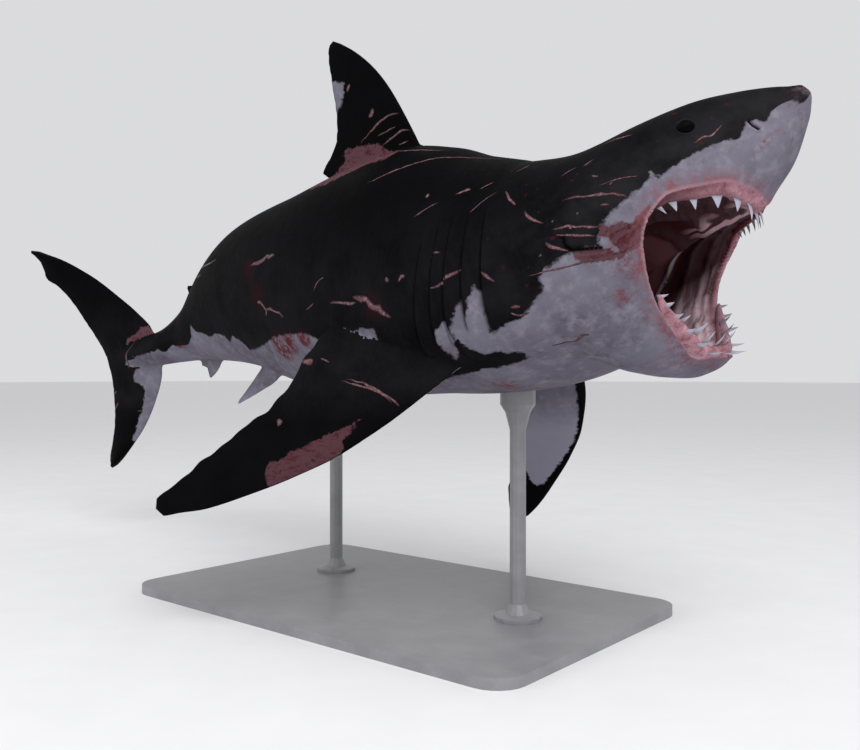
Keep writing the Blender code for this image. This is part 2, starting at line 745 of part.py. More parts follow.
# ---------------------------------------------------------------- stand
def make_stand():
    """Flat base with two rods up to the belly."""
    bm = bmesh.new()
    bmesh.ops.create_cube(bm, size=1.0)
    bmesh.ops.scale(bm, verts=bm.verts, vec=STAND_SIZE)
    bmesh.ops.translate(bm, verts=bm.verts, vec=(*STAND_CENTRE, STAND_SIZE[2] / 2))
    upright = [edge for edge in bm.edges if abs(edge.verts[0].co.z - edge.verts[1].co.z) > 0.001]
    bmesh.ops.bevel(bm, geom=upright, offset=STAND_CORNER, segments=6, profile=0.5, affect="EDGES")
    finish(mesh_object("stand_base", bm, COLLECTION), stand_paint)
    for name, station in zip(("stand_rod_front", "stand_rod_rear"), ROD_STATIONS):
        belly = pose([(station, 0.0, -float(smooth(station, BODY_LINES, 2)))])[0]
        foot = STAND_SIZE[2] + GAP
        top = belly[2] + 0.05
        profile = (
            (foot, 0.095), (foot + 0.014, 0.095), (foot + 0.022, 0.050), (foot + 0.060, ROD_RADIUS),
            (top - 0.200, ROD_RADIUS), (top - 0.130, 0.050), (top - 0.100, 0.070), (top, 0.070),
        )
        rings = []
        for z, radius in profile:
            angles = [2 * math.pi * k / ROD_FACETS for k in range(ROD_FACETS)]
            rings.append([(belly[0] + radius * math.cos(t), belly[1] + radius * math.sin(t), z) for t in angles])
        rod = loft(name, rings, bent=False)
        carve(rod, grown_body())
        finish(rod, stand_paint)


def main():
    """Builds the whole fish and its stand."""
    for obj in list(bpy.data.objects):
        bpy.data.objects.remove(obj)
    make_head()
    make_trunk()
    make_fins()
    make_stand()


main()
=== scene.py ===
"""Dresses the great white shark museum model: skin, mouth, teeth, eyes, scars, stand, studio.

The fish is shaped straight and level first: a is the distance back from the snout
tip, y is to its left and z is up, all in metres. Every piece is then bent along the
spine, so what meets in the straight fish still meets in the swimming one. On the
flanks a place is given as (a, g), where g runs from -1 under the belly, through 0
on the side, to 1 on the back.
"""

import math

import bmesh
import bpy
import numpy as np
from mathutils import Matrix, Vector
from mathutils.bvhtree import BVHTree
from mathutils.kdtree import KDTree


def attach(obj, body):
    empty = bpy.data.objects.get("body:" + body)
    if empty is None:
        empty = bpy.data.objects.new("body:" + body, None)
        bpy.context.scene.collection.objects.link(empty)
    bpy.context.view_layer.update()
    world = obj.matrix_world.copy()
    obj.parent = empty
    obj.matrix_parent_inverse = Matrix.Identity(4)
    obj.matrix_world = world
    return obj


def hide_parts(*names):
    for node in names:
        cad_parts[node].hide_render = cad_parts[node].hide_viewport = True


bl_info = {
    "name": "Great white shark model",
    "version": (1, 0, 0),
    "blender": (4, 5, 0),
    "location": "View3D > Sidebar > Shark",
    "description": "Skin, teeth, eyes, tongue, scars and studio of a life-size great white shark model",
    "category": "Object",
}

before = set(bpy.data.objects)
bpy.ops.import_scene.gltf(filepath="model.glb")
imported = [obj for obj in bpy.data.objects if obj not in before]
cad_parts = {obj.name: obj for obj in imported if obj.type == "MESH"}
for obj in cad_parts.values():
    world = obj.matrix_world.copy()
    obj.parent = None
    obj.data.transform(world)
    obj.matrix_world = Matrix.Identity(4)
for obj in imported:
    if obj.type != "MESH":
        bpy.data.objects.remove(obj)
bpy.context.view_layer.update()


# ---------------------------------------------------------------- lines of the fish
# Distance back, back height, belly depth, half width.
BODY_LINES = (
    (0.000, 0.000, 0.000, 0.000), (0.003, 0.037, 0.016, 0.018), (0.012, 0.047, 0.034, 0.032),
    (0.030, 0.062, 0.056, 0.050), (0.050, 0.080, 0.073, 0.066), (0.150, 0.149, 0.144, 0.149),
    (0.280, 0.219, 0.199, 0.226), (0.450, 0.272, 0.375, 0.345), (0.550, 0.296, 0.488, 0.395),
    (0.620, 0.318, 0.545, 0.408), (0.680, 0.342, 0.556, 0.410), (0.750, 0.375, 0.546, 0.414),
    (0.820, 0.407, 0.498, 0.420), (0.880, 0.430, 0.438, 0.427), (0.930, 0.447, 0.388, 0.433),
    (1.000, 0.477, 0.388, 0.443), (1.250, 0.552, 0.377, 0.462), (1.500, 0.624, 0.372, 0.466),
    (1.750, 0.648, 0.403, 0.465), (2.000, 0.599, 0.444, 0.450), (2.500, 0.450, 0.476, 0.384),
    (3.000, 0.387, 0.362, 0.297), (3.500, 0.268, 0.212, 0.186), (3.750, 0.172, 0.143, 0.146),
    (4.000, 0.104, 0.105, 0.128), (4.200, 0.088, 0.088, 0.080), (4.400, 0.070, 0.070, 0.020),
)
# Fullness of the lower half of a section: 2 is an ellipse, less is a keel.
KEEL_LINES = ((0.0, 2.0), (0.45, 1.9), (0.68, 1.6), (0.90, 2.0), (3.30, 2.0), (3.90, 1.45), (4.40, 1.4))

# Spine: distance back, then the yaw, pitch and roll of the fish relative to its head.
SPINE = (
    (0.00, 0.0, 0.0, 0.0), (0.60, 0.0, 0.0, 0.0), (1.25, -10.3, 24.7, -5.7), (2.00, -13.0, 41.6, -3.0),
    (2.75, -14.3, 27.7, 0.9), (3.40, -11.4, 16.9, 1.6), (3.90, 2.7, 20.3, 2.8), (4.30, 8.2, 26.7, 3.9),
    (5.10, -18.7, 30.9, 5.0),
)
SPINE_STEP = 0.01
HEAD_TURN = (1.6, -32.7, 6.5)
SNOUT_AT = (2.3955, -0.019, 1.87)

# Rim of the open mouth: distance back and height, from the upper lip down to the chin.
UPPER_LIP = (0.285, -0.201)
CHIN = (0.660, -0.526)
SNOUT_BULGE = 0.014                     # how far the snout juts forward above its tip
CHIN_TUCK = (0.022, 0.0, 0.006)         # how far the lower lip rolls back in front
RIGHT_RIM = (
    (0.270, -0.181), (0.274, -0.160), (0.287, -0.132), (0.308, -0.110), (0.334, -0.099), (0.369, -0.084),
    (0.407, -0.070), (0.442, -0.062), (0.478, -0.073), (0.518, -0.094), (0.562, -0.133), (0.598, -0.186),
    (0.628, -0.238), (0.652, -0.290), (0.667, -0.334), (0.673, -0.383), (0.679, -0.449), (0.680, -0.503),
)
LEFT_RIM = (
    (0.280, -0.192), (0.292, -0.184), (0.309, -0.176), (0.330, -0.168), (0.353, -0.161), (0.378, -0.157),
    (0.403, -0.155), (0.430, -0.158), (0.457, -0.168), (0.487, -0.184), (0.526, -0.202), (0.572, -0.224),
    (0.612, -0.254), (0.645, -0.294), (0.664, -0.336), (0.674, -0.384), (0.679, -0.449), (0.680, -0.503),
)
# Throat: depth, then how copies of the rim move back and up, and shrink in height and width.
THROAT_MIDDLE = (0.53, -0.28)
THROAT = (
    (0.0, 0.00, 0.00, 1.00, 1.00), (1.0, 0.10, 0.03, 0.92, 0.86), (2.0, 0.22, 0.07, 0.78, 0.72),
    (3.0, 0.36, 0.10, 0.55, 0.52), (4.0, 0.50, 0.12, 0.34, 0.34), (5.0, 0.60, 0.13, 0.15, 0.16),
)
MOUTH_RINGS = 66
GAPE = (-0.66, -0.75)
GAPE_REACH = ((0.60, 1.6), (0.05, 1.3))
# Folds that ring the throat: depth, half width in depth, height as a share of the throat, sway.
THROAT_FOLDS = (
    (0.28, 0.07, 0.035, 0.05), (0.55, 0.09, 0.045, 0.08), (0.90, 0.12, 0.060, 0.10),
    (1.50, 0.14, 0.110, 0.12), (2.05, 0.12, 0.100, 0.10), (2.55, 0.12, 0.120, 0.08), (3.10, 0.14, 0.140, 0.08),
)

EYE_AT = (0.308, 0.212, 0.105)
EYE_RADIUS = 0.028
LID_RADIUS = 0.0245

UPPER_GUM_HEIGHT = 0.027
LOWER_GUM_HEIGHT = 0.027
UPPER_GUM_THICK = 0.031
LOWER_GUM_THICK = 0.021
UPPER_GUM_LIFT = (0.012, -0.020)
LOWER_GUM_LIFT = (-0.014, 0.0045)
UPPER_GUM_INSET = 0.043
LOWER_GUM_INSET = 0.012
UPPER_GUM_SPAN = (9, 9)
LOWER_GUM_SPAN = (4, 5)
UPPER_WAY = (0.45, 0.0, -0.89)
LOWER_WAY = (-0.98, 0.0, -0.20)
# Teeth: share of the way along the gum from the right (upper) or the left (lower), width and
# height in millimetres, how far inwards they stand, and how far they lean out.
UPPER_TEETH = (
    (0.020, 16, 26, 0, 0.1), (0.085, 32, 31, 0, 0.1), (0.165, 32, 34, 0, 0.1), (0.268, 46, 40, 0, 0.1),
    (0.375, 44, 42, 0, 0.15), (0.452, 50, 54, 0, 0.15), (0.512, 46, 54, 0, 0.1), (0.572, 44, 50, 0, 0.15),
    (0.650, 38, 46, 0, 0.15), (0.735, 38, 40, 0, 0.1), (0.815, 34, 36, 0, 0.1), (0.885, 28, 32, 0, 0.1),
    (0.950, 20, 26, 0, 0.1),
)
LOWER_TEETH = (
    (0.04, 18, 22, 0, 0.2), (0.12, 26, 29, 0, 0.2), (0.21, 32, 36, 0, 0.3), (0.30, 34, 41, -8, 0.5),
    (0.38, 36, 46, -8, 0.5), (0.46, 34, 43, -8, 0.4), (0.54, 36, 38, -6, 0.4), (0.62, 36, 33, -4, 0.3),
    (0.71, 30, 26, -4, 0.2), (0.80, 26, 24, 0, 0.1), (0.90, 26, 22, 0, 0.0), (0.97, 18, 19, 0, 0.0),
    (0.26, 24, 40, 16, -0.4), (0.36, 26, 43, 18, -0.5), (0.44, 22, 38, 20, -0.6), (0.50, 24, 43, 18, -0.5),
    (0.57, 24, 46, 18, -0.4), (0.66, 26, 50, 16, -0.3), (0.18, 22, 34, 14, -0.3), (0.75, 20, 29, 12, -0.2),
)

TONGUE_TIP = (0.735, 0.0, -0.466)
TONGUE_ROOT = (0.935, 0.0, -0.318)
TONGUE_HALF_WIDTH = 0.085
TONGUE_HALF_HEIGHT = 0.034

# Pectoral fins: way out, leading edge, trailing edge.
PECTORAL_RIGHT_LINES = (
    (-0.20, -0.085, 0.530), (0.00, -0.095, 0.525), (0.20, -0.106, 0.412), (0.40, -0.099, 0.322),
    (0.60, -0.060, 0.272), (0.80, 0.000, 0.264), (0.95, 0.056, 0.246), (1.05, 0.114, 0.238),
    (1.10, 0.140, 0.247), (1.125, 0.160, 0.241),
)
PECTORAL_LEFT_LINES = (
    (-0.20, -0.100, 0.400), (0.00, -0.118, 0.375), (0.20, -0.146, 0.245), (0.40, -0.128, 0.186),
    (0.60, -0.070, 0.196), (0.80, 0.014, 0.234), (0.95, 0.084, 0.260), (1.05, 0.142, 0.260),
    (1.09, 0.172, 0.250), (1.108, 0.198, 0.234),
)
PECTORAL_ROOT = (1.40, 0.409, -0.246)
PECTORAL_RIGHT = (35.9, 37.4, 25.8)
PECTORAL_LEFT = (22.5, 62.6, -11.9)

# Fins on the midline: height, leading edge and trailing edge distances back.
DORSAL_LINES = (
    (0.400, 1.560, 2.300), (0.500, 1.640, 2.305), (0.530, 1.665, 2.356), (0.600, 1.728, 2.310),
    (0.680, 1.798, 2.264), (0.774, 1.876, 2.255), (0.896, 1.981, 2.266), (0.980, 2.068, 2.272),
    (1.050, 2.160, 2.276), (1.085, 2.218, 2.266), (1.100, 2.242, 2.258),
)
CAUDAL_LINES = (
    (-0.700, 4.618, 4.632), (-0.650, 4.520, 4.636), (-0.560, 4.398, 4.592), (-0.450, 4.275, 4.540),
    (-0.300, 4.160, 4.502), (-0.150, 4.075, 4.490), (0.000, 4.040, 4.508), (0.140, 4.090, 4.578),
    (0.250, 4.190, 4.650), (0.380, 4.345, 4.735), (0.500, 4.500, 4.838), (0.560, 4.592, 4.918),
    (0.660, 4.765, 4.930), (0.725, 4.910, 4.970), (0.755, 4.972, 4.988),
)
SECOND_DORSAL_LINES = (
    (0.120, 3.470, 3.640), (0.215, 3.520, 3.690), (0.235, 3.550, 3.672), (0.262, 3.592, 3.668),
    (0.285, 3.640, 3.676),
)
ANAL_LINES = (
    (-0.266, 3.690, 3.712), (-0.240, 3.625, 3.706), (-0.205, 3.565, 3.704), (-0.172, 3.520, 3.745),
    (-0.090, 3.470, 3.700),
)
PELVIC_ROOT = (2.80, 0.150, -0.350)
PELVIC_SET = (52.0, 48.0, 0.0)
PELVIC_LINES = (
    (-0.10, -0.11, 0.170), (0.00, -0.11, 0.165), (0.10, -0.08, 0.120), (0.20, -0.040, 0.080),
    (0.29, 0.005, 0.062), (0.345, 0.034, 0.055),
)

# ---------------------------------------------------------------- marks on the skin
# Gill slits: place of each at mid flank, and how they all lean with height on the flank.
GILL_SLITS = (1.050, 1.128, 1.205, 1.268, 1.342)
GILL_LEAN = (
    (-0.60, -0.070), (-0.46, -0.030), (-0.38, 0.010), (-0.28, 0.030), (-0.15, 0.018), (0.00, 0.000),
    (0.20, -0.035), (0.40, -0.065),
)
GILL_TOP = (0.34, 0.36, 0.33, 0.31, 0.24)
GILL_BOTTOM = (-0.30, -0.24, -0.46, -0.47, -0.50)

# Upper edge of the pale skin, from the snout back to the tail, as (a, g).
PALE_EDGE = (
    (0.00, -0.35), (0.015, -0.30), (0.03, -0.22), (0.045, 0.02), (0.07, 0.05), (0.09, 0.02), (0.105, -0.02),
    (0.12, -0.10), (0.13, -0.09),
    (0.14, 0.00), (0.16, 0.05), (0.18, -0.03), (0.21, -0.08), (0.24, -0.01), (0.31, 0.03), (0.35, 0.02),
    (0.38, 0.01), (0.42, 0.00), (0.435, -0.01), (0.44, 0.07), (0.455, 0.02), (0.49, 0.00), (0.55, -0.01),
    (0.62, -0.02), (0.65, -0.04), (0.68, -0.085), (0.72, -0.065), (0.74, -0.05), (0.77, -0.05), (0.81, -0.05),
    (0.85, -0.06), (0.87, -0.09), (0.89, -0.16), (0.93, -0.21), (0.98, -0.26), (1.01, -0.26), (1.05, -0.27),
    (1.09, -0.28), (1.07, -0.14), (1.06, -0.04), (1.08, 0.00), (1.11, -0.06), (1.12, -0.12), (1.15, -0.18),
    (1.14, -0.06), (1.17, -0.09), (1.20, -0.18), (1.21, -0.23), (1.20, -0.31), (1.17, -0.37), (1.14, -0.41),
    (1.10, -0.39), (1.09, -0.43), (1.05, -0.44), (1.03, -0.50), (1.08, -0.52), (1.16, -0.52), (1.19, -0.51),
    (1.26, -0.53), (1.33, -0.53), (1.41, -0.56), (1.52, -0.65), (1.64, -0.62), (1.75, -0.45), (1.85, -0.21),
    (1.92, -0.21), (1.96, -0.19), (2.03, -0.17), (2.14, -0.19), (2.27, -0.21), (2.40, -0.25), (2.54, -0.30),
    (2.67, -0.34), (2.76, -0.36), (2.79, -0.29), (2.88, -0.24), (2.99, -0.32), (3.00, -0.24), (3.10, -0.20),
    (3.24, -0.22), (3.31, -0.14), (3.40, -0.08), (3.45, 0.06), (3.50, -0.10), (3.62, -0.24), (3.74, -0.20),
    (3.79, -0.12), (3.88, -0.28), (4.02, -0.20), (4.12, -0.24), (4.30, -0.30),
)
PALE_GILL = ((1.235, -0.17), (1.27, -0.21), (1.28, -0.25), (1.27, -0.29), (1.26, -0.33), (1.25, -0.37), (1.23, -0.27))
PALE_PATCH = (
    (1.84, -0.20), (1.77, -0.12), (1.70, -0.15), (1.64, -0.13), (1.585, -0.14), (1.58, -0.26), (1.67, -0.30),
    (1.76, -0.26),
)
# Pale part of the tail fin, as distance back and height.
PALE_CAUDAL = (
    (3.90, -0.02), (4.10, -0.02), (4.21, -0.02), (4.19, -0.06), (4.18, -0.09), (4.26, -0.10), (4.28, -0.14),
    (4.28, -0.17), (4.22, -0.19), (4.20, -0.23), (4.22, -0.27), (4.23, -0.30), (4.25, -0.35), (4.30, -0.41),
    (4.33, -0.47), (4.37, -0.53), (4.30, -0.62), (4.05, -0.40), (3.90, -0.20),
)
# Pale part of a pectoral fin's underside, as way out and place on the chord.
PALE_PECTORAL = (
    (-0.30, 0.42), (0.20, 0.215), (0.43, 0.170), (0.56, 0.170), (0.69, 0.175), (0.74, 0.150), (0.80, 0.130),
    (0.83, 0.100), (0.81, 0.070), (0.74, 0.030), (0.64, -0.020), (0.54, -0.070), (0.45, -0.100),
    (0.36, -0.115), (0.27, -0.115), (0.20, -0.110), (0.10, -0.100), (-0.30, -0.10),
)
# Healed patches of bare skin.
SCAR_DORSAL = (
    (1.76, 0.620), (1.79, 0.590), (1.91, 0.575), (2.01, 0.540), (2.13, 0.490), (2.25, 0.470), (2.34, 0.490),
    (2.28, 0.530), (2.23, 0.570), (2.21, 0.590), (2.23, 0.620), (2.19, 0.640), (2.11, 0.650), (2.04, 0.660),
    (1.98, 0.650), (1.95, 0.625), (1.86, 0.628),
)
PALE_DORSAL = ((2.26, 0.93), (2.20, 0.92), (2.21, 0.87), (2.23, 0.83), (2.25, 0.80), (2.30, 0.85), (2.30, 0.93))
SCAR_CAUDAL = (
    (4.39, 0.01), (4.31, 0.05), (4.28, 0.10), (4.18, 0.13), (4.16, 0.15), (4.10, 0.15), (4.05, 0.12),
    (4.05, 0.09), (4.11, 0.08), (4.20, 0.06), (4.30, 0.02),
)
SCAR_PECTORAL = (
    (0.70, -0.06), (0.70, -0.02), (0.68, 0.03), (0.66, 0.045), (0.61, 0.025), (0.56, 0.03), (0.52, 0.01),
    (0.46, 0.00), (0.40, -0.01), (0.37, -0.02), (0.33, -0.03), (0.28, -0.04), (0.31, -0.05), (0.38, -0.07),
    (0.42, -0.12), (0.60, -0.09),
)
# Torn skin at the right corner of the mouth.
SCAR_CORNER = (
    (0.64, -0.02), (0.61, -0.05), (0.58, -0.07), (0.56, -0.10), (0.53, -0.10), (0.50, -0.09), (0.48, -0.09),
    (0.52, -0.13), (0.55, -0.16), (0.58, -0.19), (0.62, -0.17), (0.65, -0.17), (0.69, -0.15), (0.73, -0.12),
    (0.76, -0.08), (0.75, -0.05), (0.72, -0.06), (0.68, -0.09), (0.66, -0.12), (0.64, -0.15), (0.64, -0.09),
    (0.66, -0.06), (0.65, -0.03),
)
# Reddened places on the pale skin, as (a, g) and reach.
SORE_PLACES = (
    ((0.64, -0.17), 0.09), ((0.60, -0.24), 0.08), ((0.03, 0.20), 0.05), ((0.02, -0.20), 0.04), ((0.155, -0.32), 0.07),
    ((2.30, -0.28), 0.14), ((2.20, -0.25), 0.10), ((2.05, -0.20), 0.08), ((1.20, -0.73), 0.10), ((0.72, -0.30), 0.04),
    ((0.68, -0.72), 0.12), ((0.67, -0.55), 0.08),
    ((3.70, -0.20), 0.10), ((0.42, -0.09), 0.05), ((2.42, 0.03), 0.10), ((2.50, 0.20), 0.09), ((1.56, 0.00), 0.075),
    ((3.66, 0.30), 0.08),
)
CORNER_FLAP = ((0.75, 0.03), (0.76, -0.01), (0.75, -0.04), (0.72, -0.06), (0.68, -0.09))
NOSTRIL = ((0.158, 0.05), (0.156, -0.03), (0.149, -0.13))
NOSTRIL_CREASE = ((0.150, -0.16), (0.152, -0.30), (0.160, -0.48))

# Long thin scars on the right side: width in millimetres, then the line.
BODY_SCARS = (
    (12, (1.77, 0.55), (1.71, 0.58), (1.61, 0.64), (1.49, 0.71), (1.39, 0.77), (1.27, 0.83), (1.04, 0.87)),
    (15, (1.86, 0.84), (1.72, 0.82), (1.63, 0.83), (1.45, 0.85)),
    (9, (1.37, 0.36), (1.32, 0.40), (1.25, 0.44)),
    (18, (1.17, 0.48), (1.12, 0.50), (1.09, 0.51)),
    (8, (1.04, 0.50), (0.98, 0.55)),
    (8, (1.07, 0.35), (1.02, 0.40), (0.95, 0.47)),
    (17, (0.91, 0.46), (0.89, 0.39), (0.87, 0.33)),
    (14, (0.84, 0.27), (0.82, 0.21), (0.79, 0.15)),
    (13, (1.03, 0.05), (1.02, 0.02), (1.00, -0.02)),
    (17, (1.25, 0.04), (1.19, 0.06), (1.11, 0.10)),
    (14, (1.25, 0.18), (1.20, 0.19)),
    (14, (0.70, 0.23), (0.65, 0.19), (0.59, 0.12), (0.55, 0.06), (0.53, -0.01)),
    (8, (0.61, 0.06), (0.58, 0.02)),
    (12, (0.77, 0.10), (0.72, 0.06), (0.68, 0.00), (0.64, -0.03)),
    (10, (0.77, 0.06), (0.72, 0.00), (0.67, -0.05)),
    (16, (0.81, 0.05), (0.79, 0.00), (0.76, -0.04)),
    (8, (0.90, -0.06), (0.85, -0.07), (0.81, -0.08), (0.75, -0.10), (0.70, -0.12)),
    (9, (0.89, 0.64), (0.86, 0.68), (0.84, 0.72)),
    (7, (0.69, 0.43), (0.66, 0.45), (0.63, 0.45)),
    (9, (0.61, 0.42), (0.59, 0.43), (0.57, 0.44)),
    (14, (0.54, 0.60), (0.50, 0.58), (0.48, 0.55), (0.44, 0.50)),
    (9, (0.59, 0.29), (0.57, 0.25)),
    (5, (0.59, 0.18), (0.53, 0.15), (0.47, 0.08)),
    (12, (0.31, 0.10), (0.28, 0.12), (0.26, 0.10), (0.24, 0.12), (0.22, 0.15)),
    (18, (0.99, -0.18), (0.96, -0.19)),
    (14, (1.00, -0.21), (0.98, -0.24), (0.95, -0.24)),
    (9, (0.96, -0.48), (0.91, -0.49), (0.87, -0.43), (0.85, -0.42)),
    (24, (2.35, -0.09), (2.34, -0.05), (2.39, -0.01), (2.42, 0.00)),
    (19, (2.34, -0.04), (2.26, -0.05), (2.18, -0.08)),
    (32, (2.48, 0.24), (2.38, 0.25), (2.32, 0.26), (2.27, 0.25)),
    (9, (1.94, 0.07), (1.91, 0.11), (1.87, 0.13)),
    (9, (1.99, -0.02), (1.93, 0.02)),
    (16, (1.82, 0.03), (1.73, 0.03), (1.66, 0.03)),
    (36, (1.68, 0.045), (1.60, 0.035), (1.53, -0.005), (1.47, -0.065)),
    (10, (3.27, 0.61), (3.06, 0.46), (2.92, 0.42)),
    (9, (3.28, 0.51), (3.17, 0.43)),
    (28, (1.335, 0.465), (1.325, 0.49)),
    (28, (1.49, 0.105), (1.47, 0.115)),
    (24, (1.42, 0.10), (1.38, 0.12)),
    (9, (0.765, 0.14), (0.755, 0.14)),
    (9, (0.725, 0.05), (0.715, 0.05)),
    (9, (0.685, 0.10), (0.675, 0.10)),
    (9, (0.845, 0.00), (0.835, 0.01)),
    (11, (0.555, 0.14), (0.54, 0.145)),
)
DORSAL_SCARS = (
    (12, (2.12, 0.66), (2.07, 0.70), (2.02, 0.74), (1.96, 0.77), (1.90, 0.785)),
    (8, (2.02, 0.69), (1.96, 0.71), (1.91, 0.73)),
    (13, (1.99, 0.65), (1.93, 0.68), (1.88, 0.71), (1.83, 0.715)),
    (9, (1.89, 0.65), (1.83, 0.67)),
    (26, (2.045, 0.805), (2.065, 0.765)),
    (16, (2.175, 0.915), (2.19, 0.88)),
)
CAUDAL_SCARS = (
    (16, (4.21, 0.07), (4.28, 0.00), (4.31, -0.08)),
    (12, (4.50, -0.29), (4.49, -0.23), (4.45, -0.21)),
    (12, (4.51, -0.33), (4.45, -0.28)),
    (9, (4.29, -0.35), (4.25, -0.35)),
)
PECTORAL_SCARS = (
    (15, (0.24, 0.14), (0.19, 0.07), (0.16, -0.01), (0.135, -0.085)),
    (11, (0.26, 0.15), (0.22, 0.09), (0.17, 0.01), (0.15, -0.06)),
    (36, (0.56, 0.165), (0.54, 0.195)),
    (40, (0.39, 0.335), (0.35, 0.325), (0.32, 0.30)),
    (10, (0.285, 0.295), (0.26, 0.25)),
)

FLANK_SPAN = 0.7            # metres of girth that one unit of g stands for
ZONES = {"skin": 1, "lining": 2, "gum": 3, "midfin": 4, "fin_right": 5, "fin_left": 6, "pelvic": 7, "anal": 8}
FLESH_NODES = (
    "head", "lower_jaw", "gills", "trunk_front", "trunk_rear", "tail_stalk", "dorsal_fin", "second_dorsal_fin",
    "anal_fin", "caudal_fin", "pectoral_fin_left", "pectoral_fin_right", "pelvic_fin_left", "pelvic_fin_right",
    "upper_teeth", "lower_teeth",
)


# ---------------------------------------------------------------- curves and pose
def smooth(at, table, column):
    """Value of a table's column at a distance, on a curve that never overshoots."""
    rows = np.array(table, float)
    xs = rows[:, 0]
    ys = rows[:, column]
    step = np.diff(xs)
    slope = np.diff(ys) / step
    tangent = np.zeros(len(xs))
    for i in range(1, len(xs) - 1):
        before = slope[i - 1]
        after = slope[i]
        if before * after > 0:
            lead = 2 * step[i] + step[i - 1]
            trail = step[i] + 2 * step[i - 1]
            tangent[i] = (lead + trail) / (lead / before + trail / after)
    tangent[0] = slope[0]
    tangent[-1] = end_tangent(step[-1], step[-2], slope[-1], slope[-2])
    at = np.clip(np.asarray(at, float), xs[0], xs[-1])
    k = np.clip(np.searchsorted(xs, at, side="right") - 1, 0, len(xs) - 2)
    t = (at - xs[k]) / step[k]
    rise = ys[k] * (1 + 2 * t) * (1 - t) ** 2 + ys[k + 1] * t * t * (3 - 2 * t)
    return rise + step[k] * t * (1 - t) * (tangent[k] * (1 - t) - tangent[k + 1] * t)


def end_tangent(last, inner, last_slope, inner_slope):
    """Slope at the end of a table, from its last two intervals."""
    value = ((2 * last + inner) * last_slope - last * inner_slope) / (last + inner)
    if value * last_slope <= 0:
        return 0.0
    if last_slope * inner_slope < 0 and abs(value) > 3 * abs(last_slope):
        return 3 * last_slope
    return value


def turn(yaw, pitch, roll):
    """Rotation matrix of a yaw, a nose-down pitch and a left-side-up roll, in degrees."""
    cy, sy = math.cos(math.radians(yaw)), math.sin(math.radians(yaw))
    cp, sp = math.cos(math.radians(pitch)), math.sin(math.radians(pitch))
    cr, sr = math.cos(math.radians(roll)), math.sin(math.radians(roll))
    about_z = np.array([[cy, -sy, 0], [sy, cy, 0], [0, 0, 1]])
    about_y = np.array([[cp, 0, sp], [0, 1, 0], [-sp, 0, cp]])
    about_x = np.array([[1, 0, 0], [0, cr, -sr], [0, sr, cr]])
    return about_z @ about_y @ about_x


def spine_frames():
    """Places and rotations of the frames along the bent spine."""
    stations = np.arange(-0.1, 5.5, SPINE_STEP)
    angles = [smooth(stations, SPINE, column) for column in (1, 2, 3)]
    turns = np.array([turn(*row) for row in zip(*angles)])
    ahead = (turns[:-1, :, 0] + turns[1:, :, 0]) / 2
    places = np.vstack([np.zeros(3), np.cumsum(-ahead * SPINE_STEP, axis=0)])
    places -= places[int(round(0.1 / SPINE_STEP))]
    head = turn(*HEAD_TURN)
    return stations, places @ head.T + np.array(SNOUT_AT), head @ turns


FRAMES = spine_frames()


def fin_hold(points):
    """How far a point follows the pectoral fins' root and not the spine beside it."""
    a, y, z = points.T
    at = np.clip(a, BODY_LINES[1][0], BODY_LINES[-1][0])
    reach = np.hypot(y / smooth(at, BODY_LINES, 3), z / smooth(at, BODY_LINES, 2))
    held = np.clip((reach - 1.1) / 0.5, 0, 1)
    held = held * held * (3 - 2 * held)
    return np.where((a > 1.15) & (a < 2.62) & (z < -0.1), held, 0.0)


def pose(points):
    """Bent place of points of the straight fish."""
    stations, places, turns = FRAMES
    points = np.asarray(points, float)
    held = fin_hold(points)
    hub = points[:, 0] * (1 - held) + PECTORAL_ROOT[0] * held
    at = (hub - stations[0]) / SPINE_STEP
    k = np.clip(at.astype(int), 0, len(stations) - 2)
    t = (at - k)[:, None]
    place = places[k] * (1 - t) + places[k + 1] * t
    bend = turns[k] * (1 - t[:, :, None]) + turns[k + 1] * t[:, :, None]
    local = np.stack([hub - points[:, 0], points[:, 1], points[:, 2]], axis=1)
    return place + np.einsum("nij,nj->ni", bend, local)


def step(low, high, value):
    """Smooth rise from 0 to 1 between two values."""
    t = np.clip((np.asarray(value, float) - low) / (high - low), 0, 1)
    return t * t * (3 - 2 * t)


def bump(value, width):
    """Rounded hump of height 1."""
    return np.exp(-(value / width) ** 2)


def ripple(points, size, seed):
    """Gentle irregular waves between about -1 and 1, of a given size in metres."""
    rng = np.random.default_rng(seed)
    total = np.zeros(len(points))
    for _ in range(6):
        way = rng.normal(size=3)
        way *= 2 * math.pi / (size * rng.uniform(0.7, 1.5) * np.linalg.norm(way))
        total += np.sin(points @ way + rng.uniform(0, 2 * math.pi))
    return total / 3


def through(knots, at, closed=False):
    """Points on a round curve through knots, at fractional knot numbers."""
    knots = np.array(knots, float)
    count = len(knots)
    at = np.asarray(at, float)
    k = np.floor(at).astype(int)
    if not closed:
        k = np.clip(k, 0, count - 2)
    t = (at - k).reshape(-1, *([1] * (knots.ndim - 1)))
    if closed:
        p = [knots[(k + n) % count] for n in (-1, 0, 1, 2)]
    else:
        p = [knots[np.clip(k + n, 0, count - 1)] for n in (-1, 0, 1, 2)]
    return 0.5 * (2 * p[1] + (p[2] - p[0]) * t + (2 * p[0] - 5 * p[1] + 4 * p[2] - p[3]) * t * t
                  + (3 * p[1] - p[0] - 3 * p[2] + p[3]) * t ** 3)


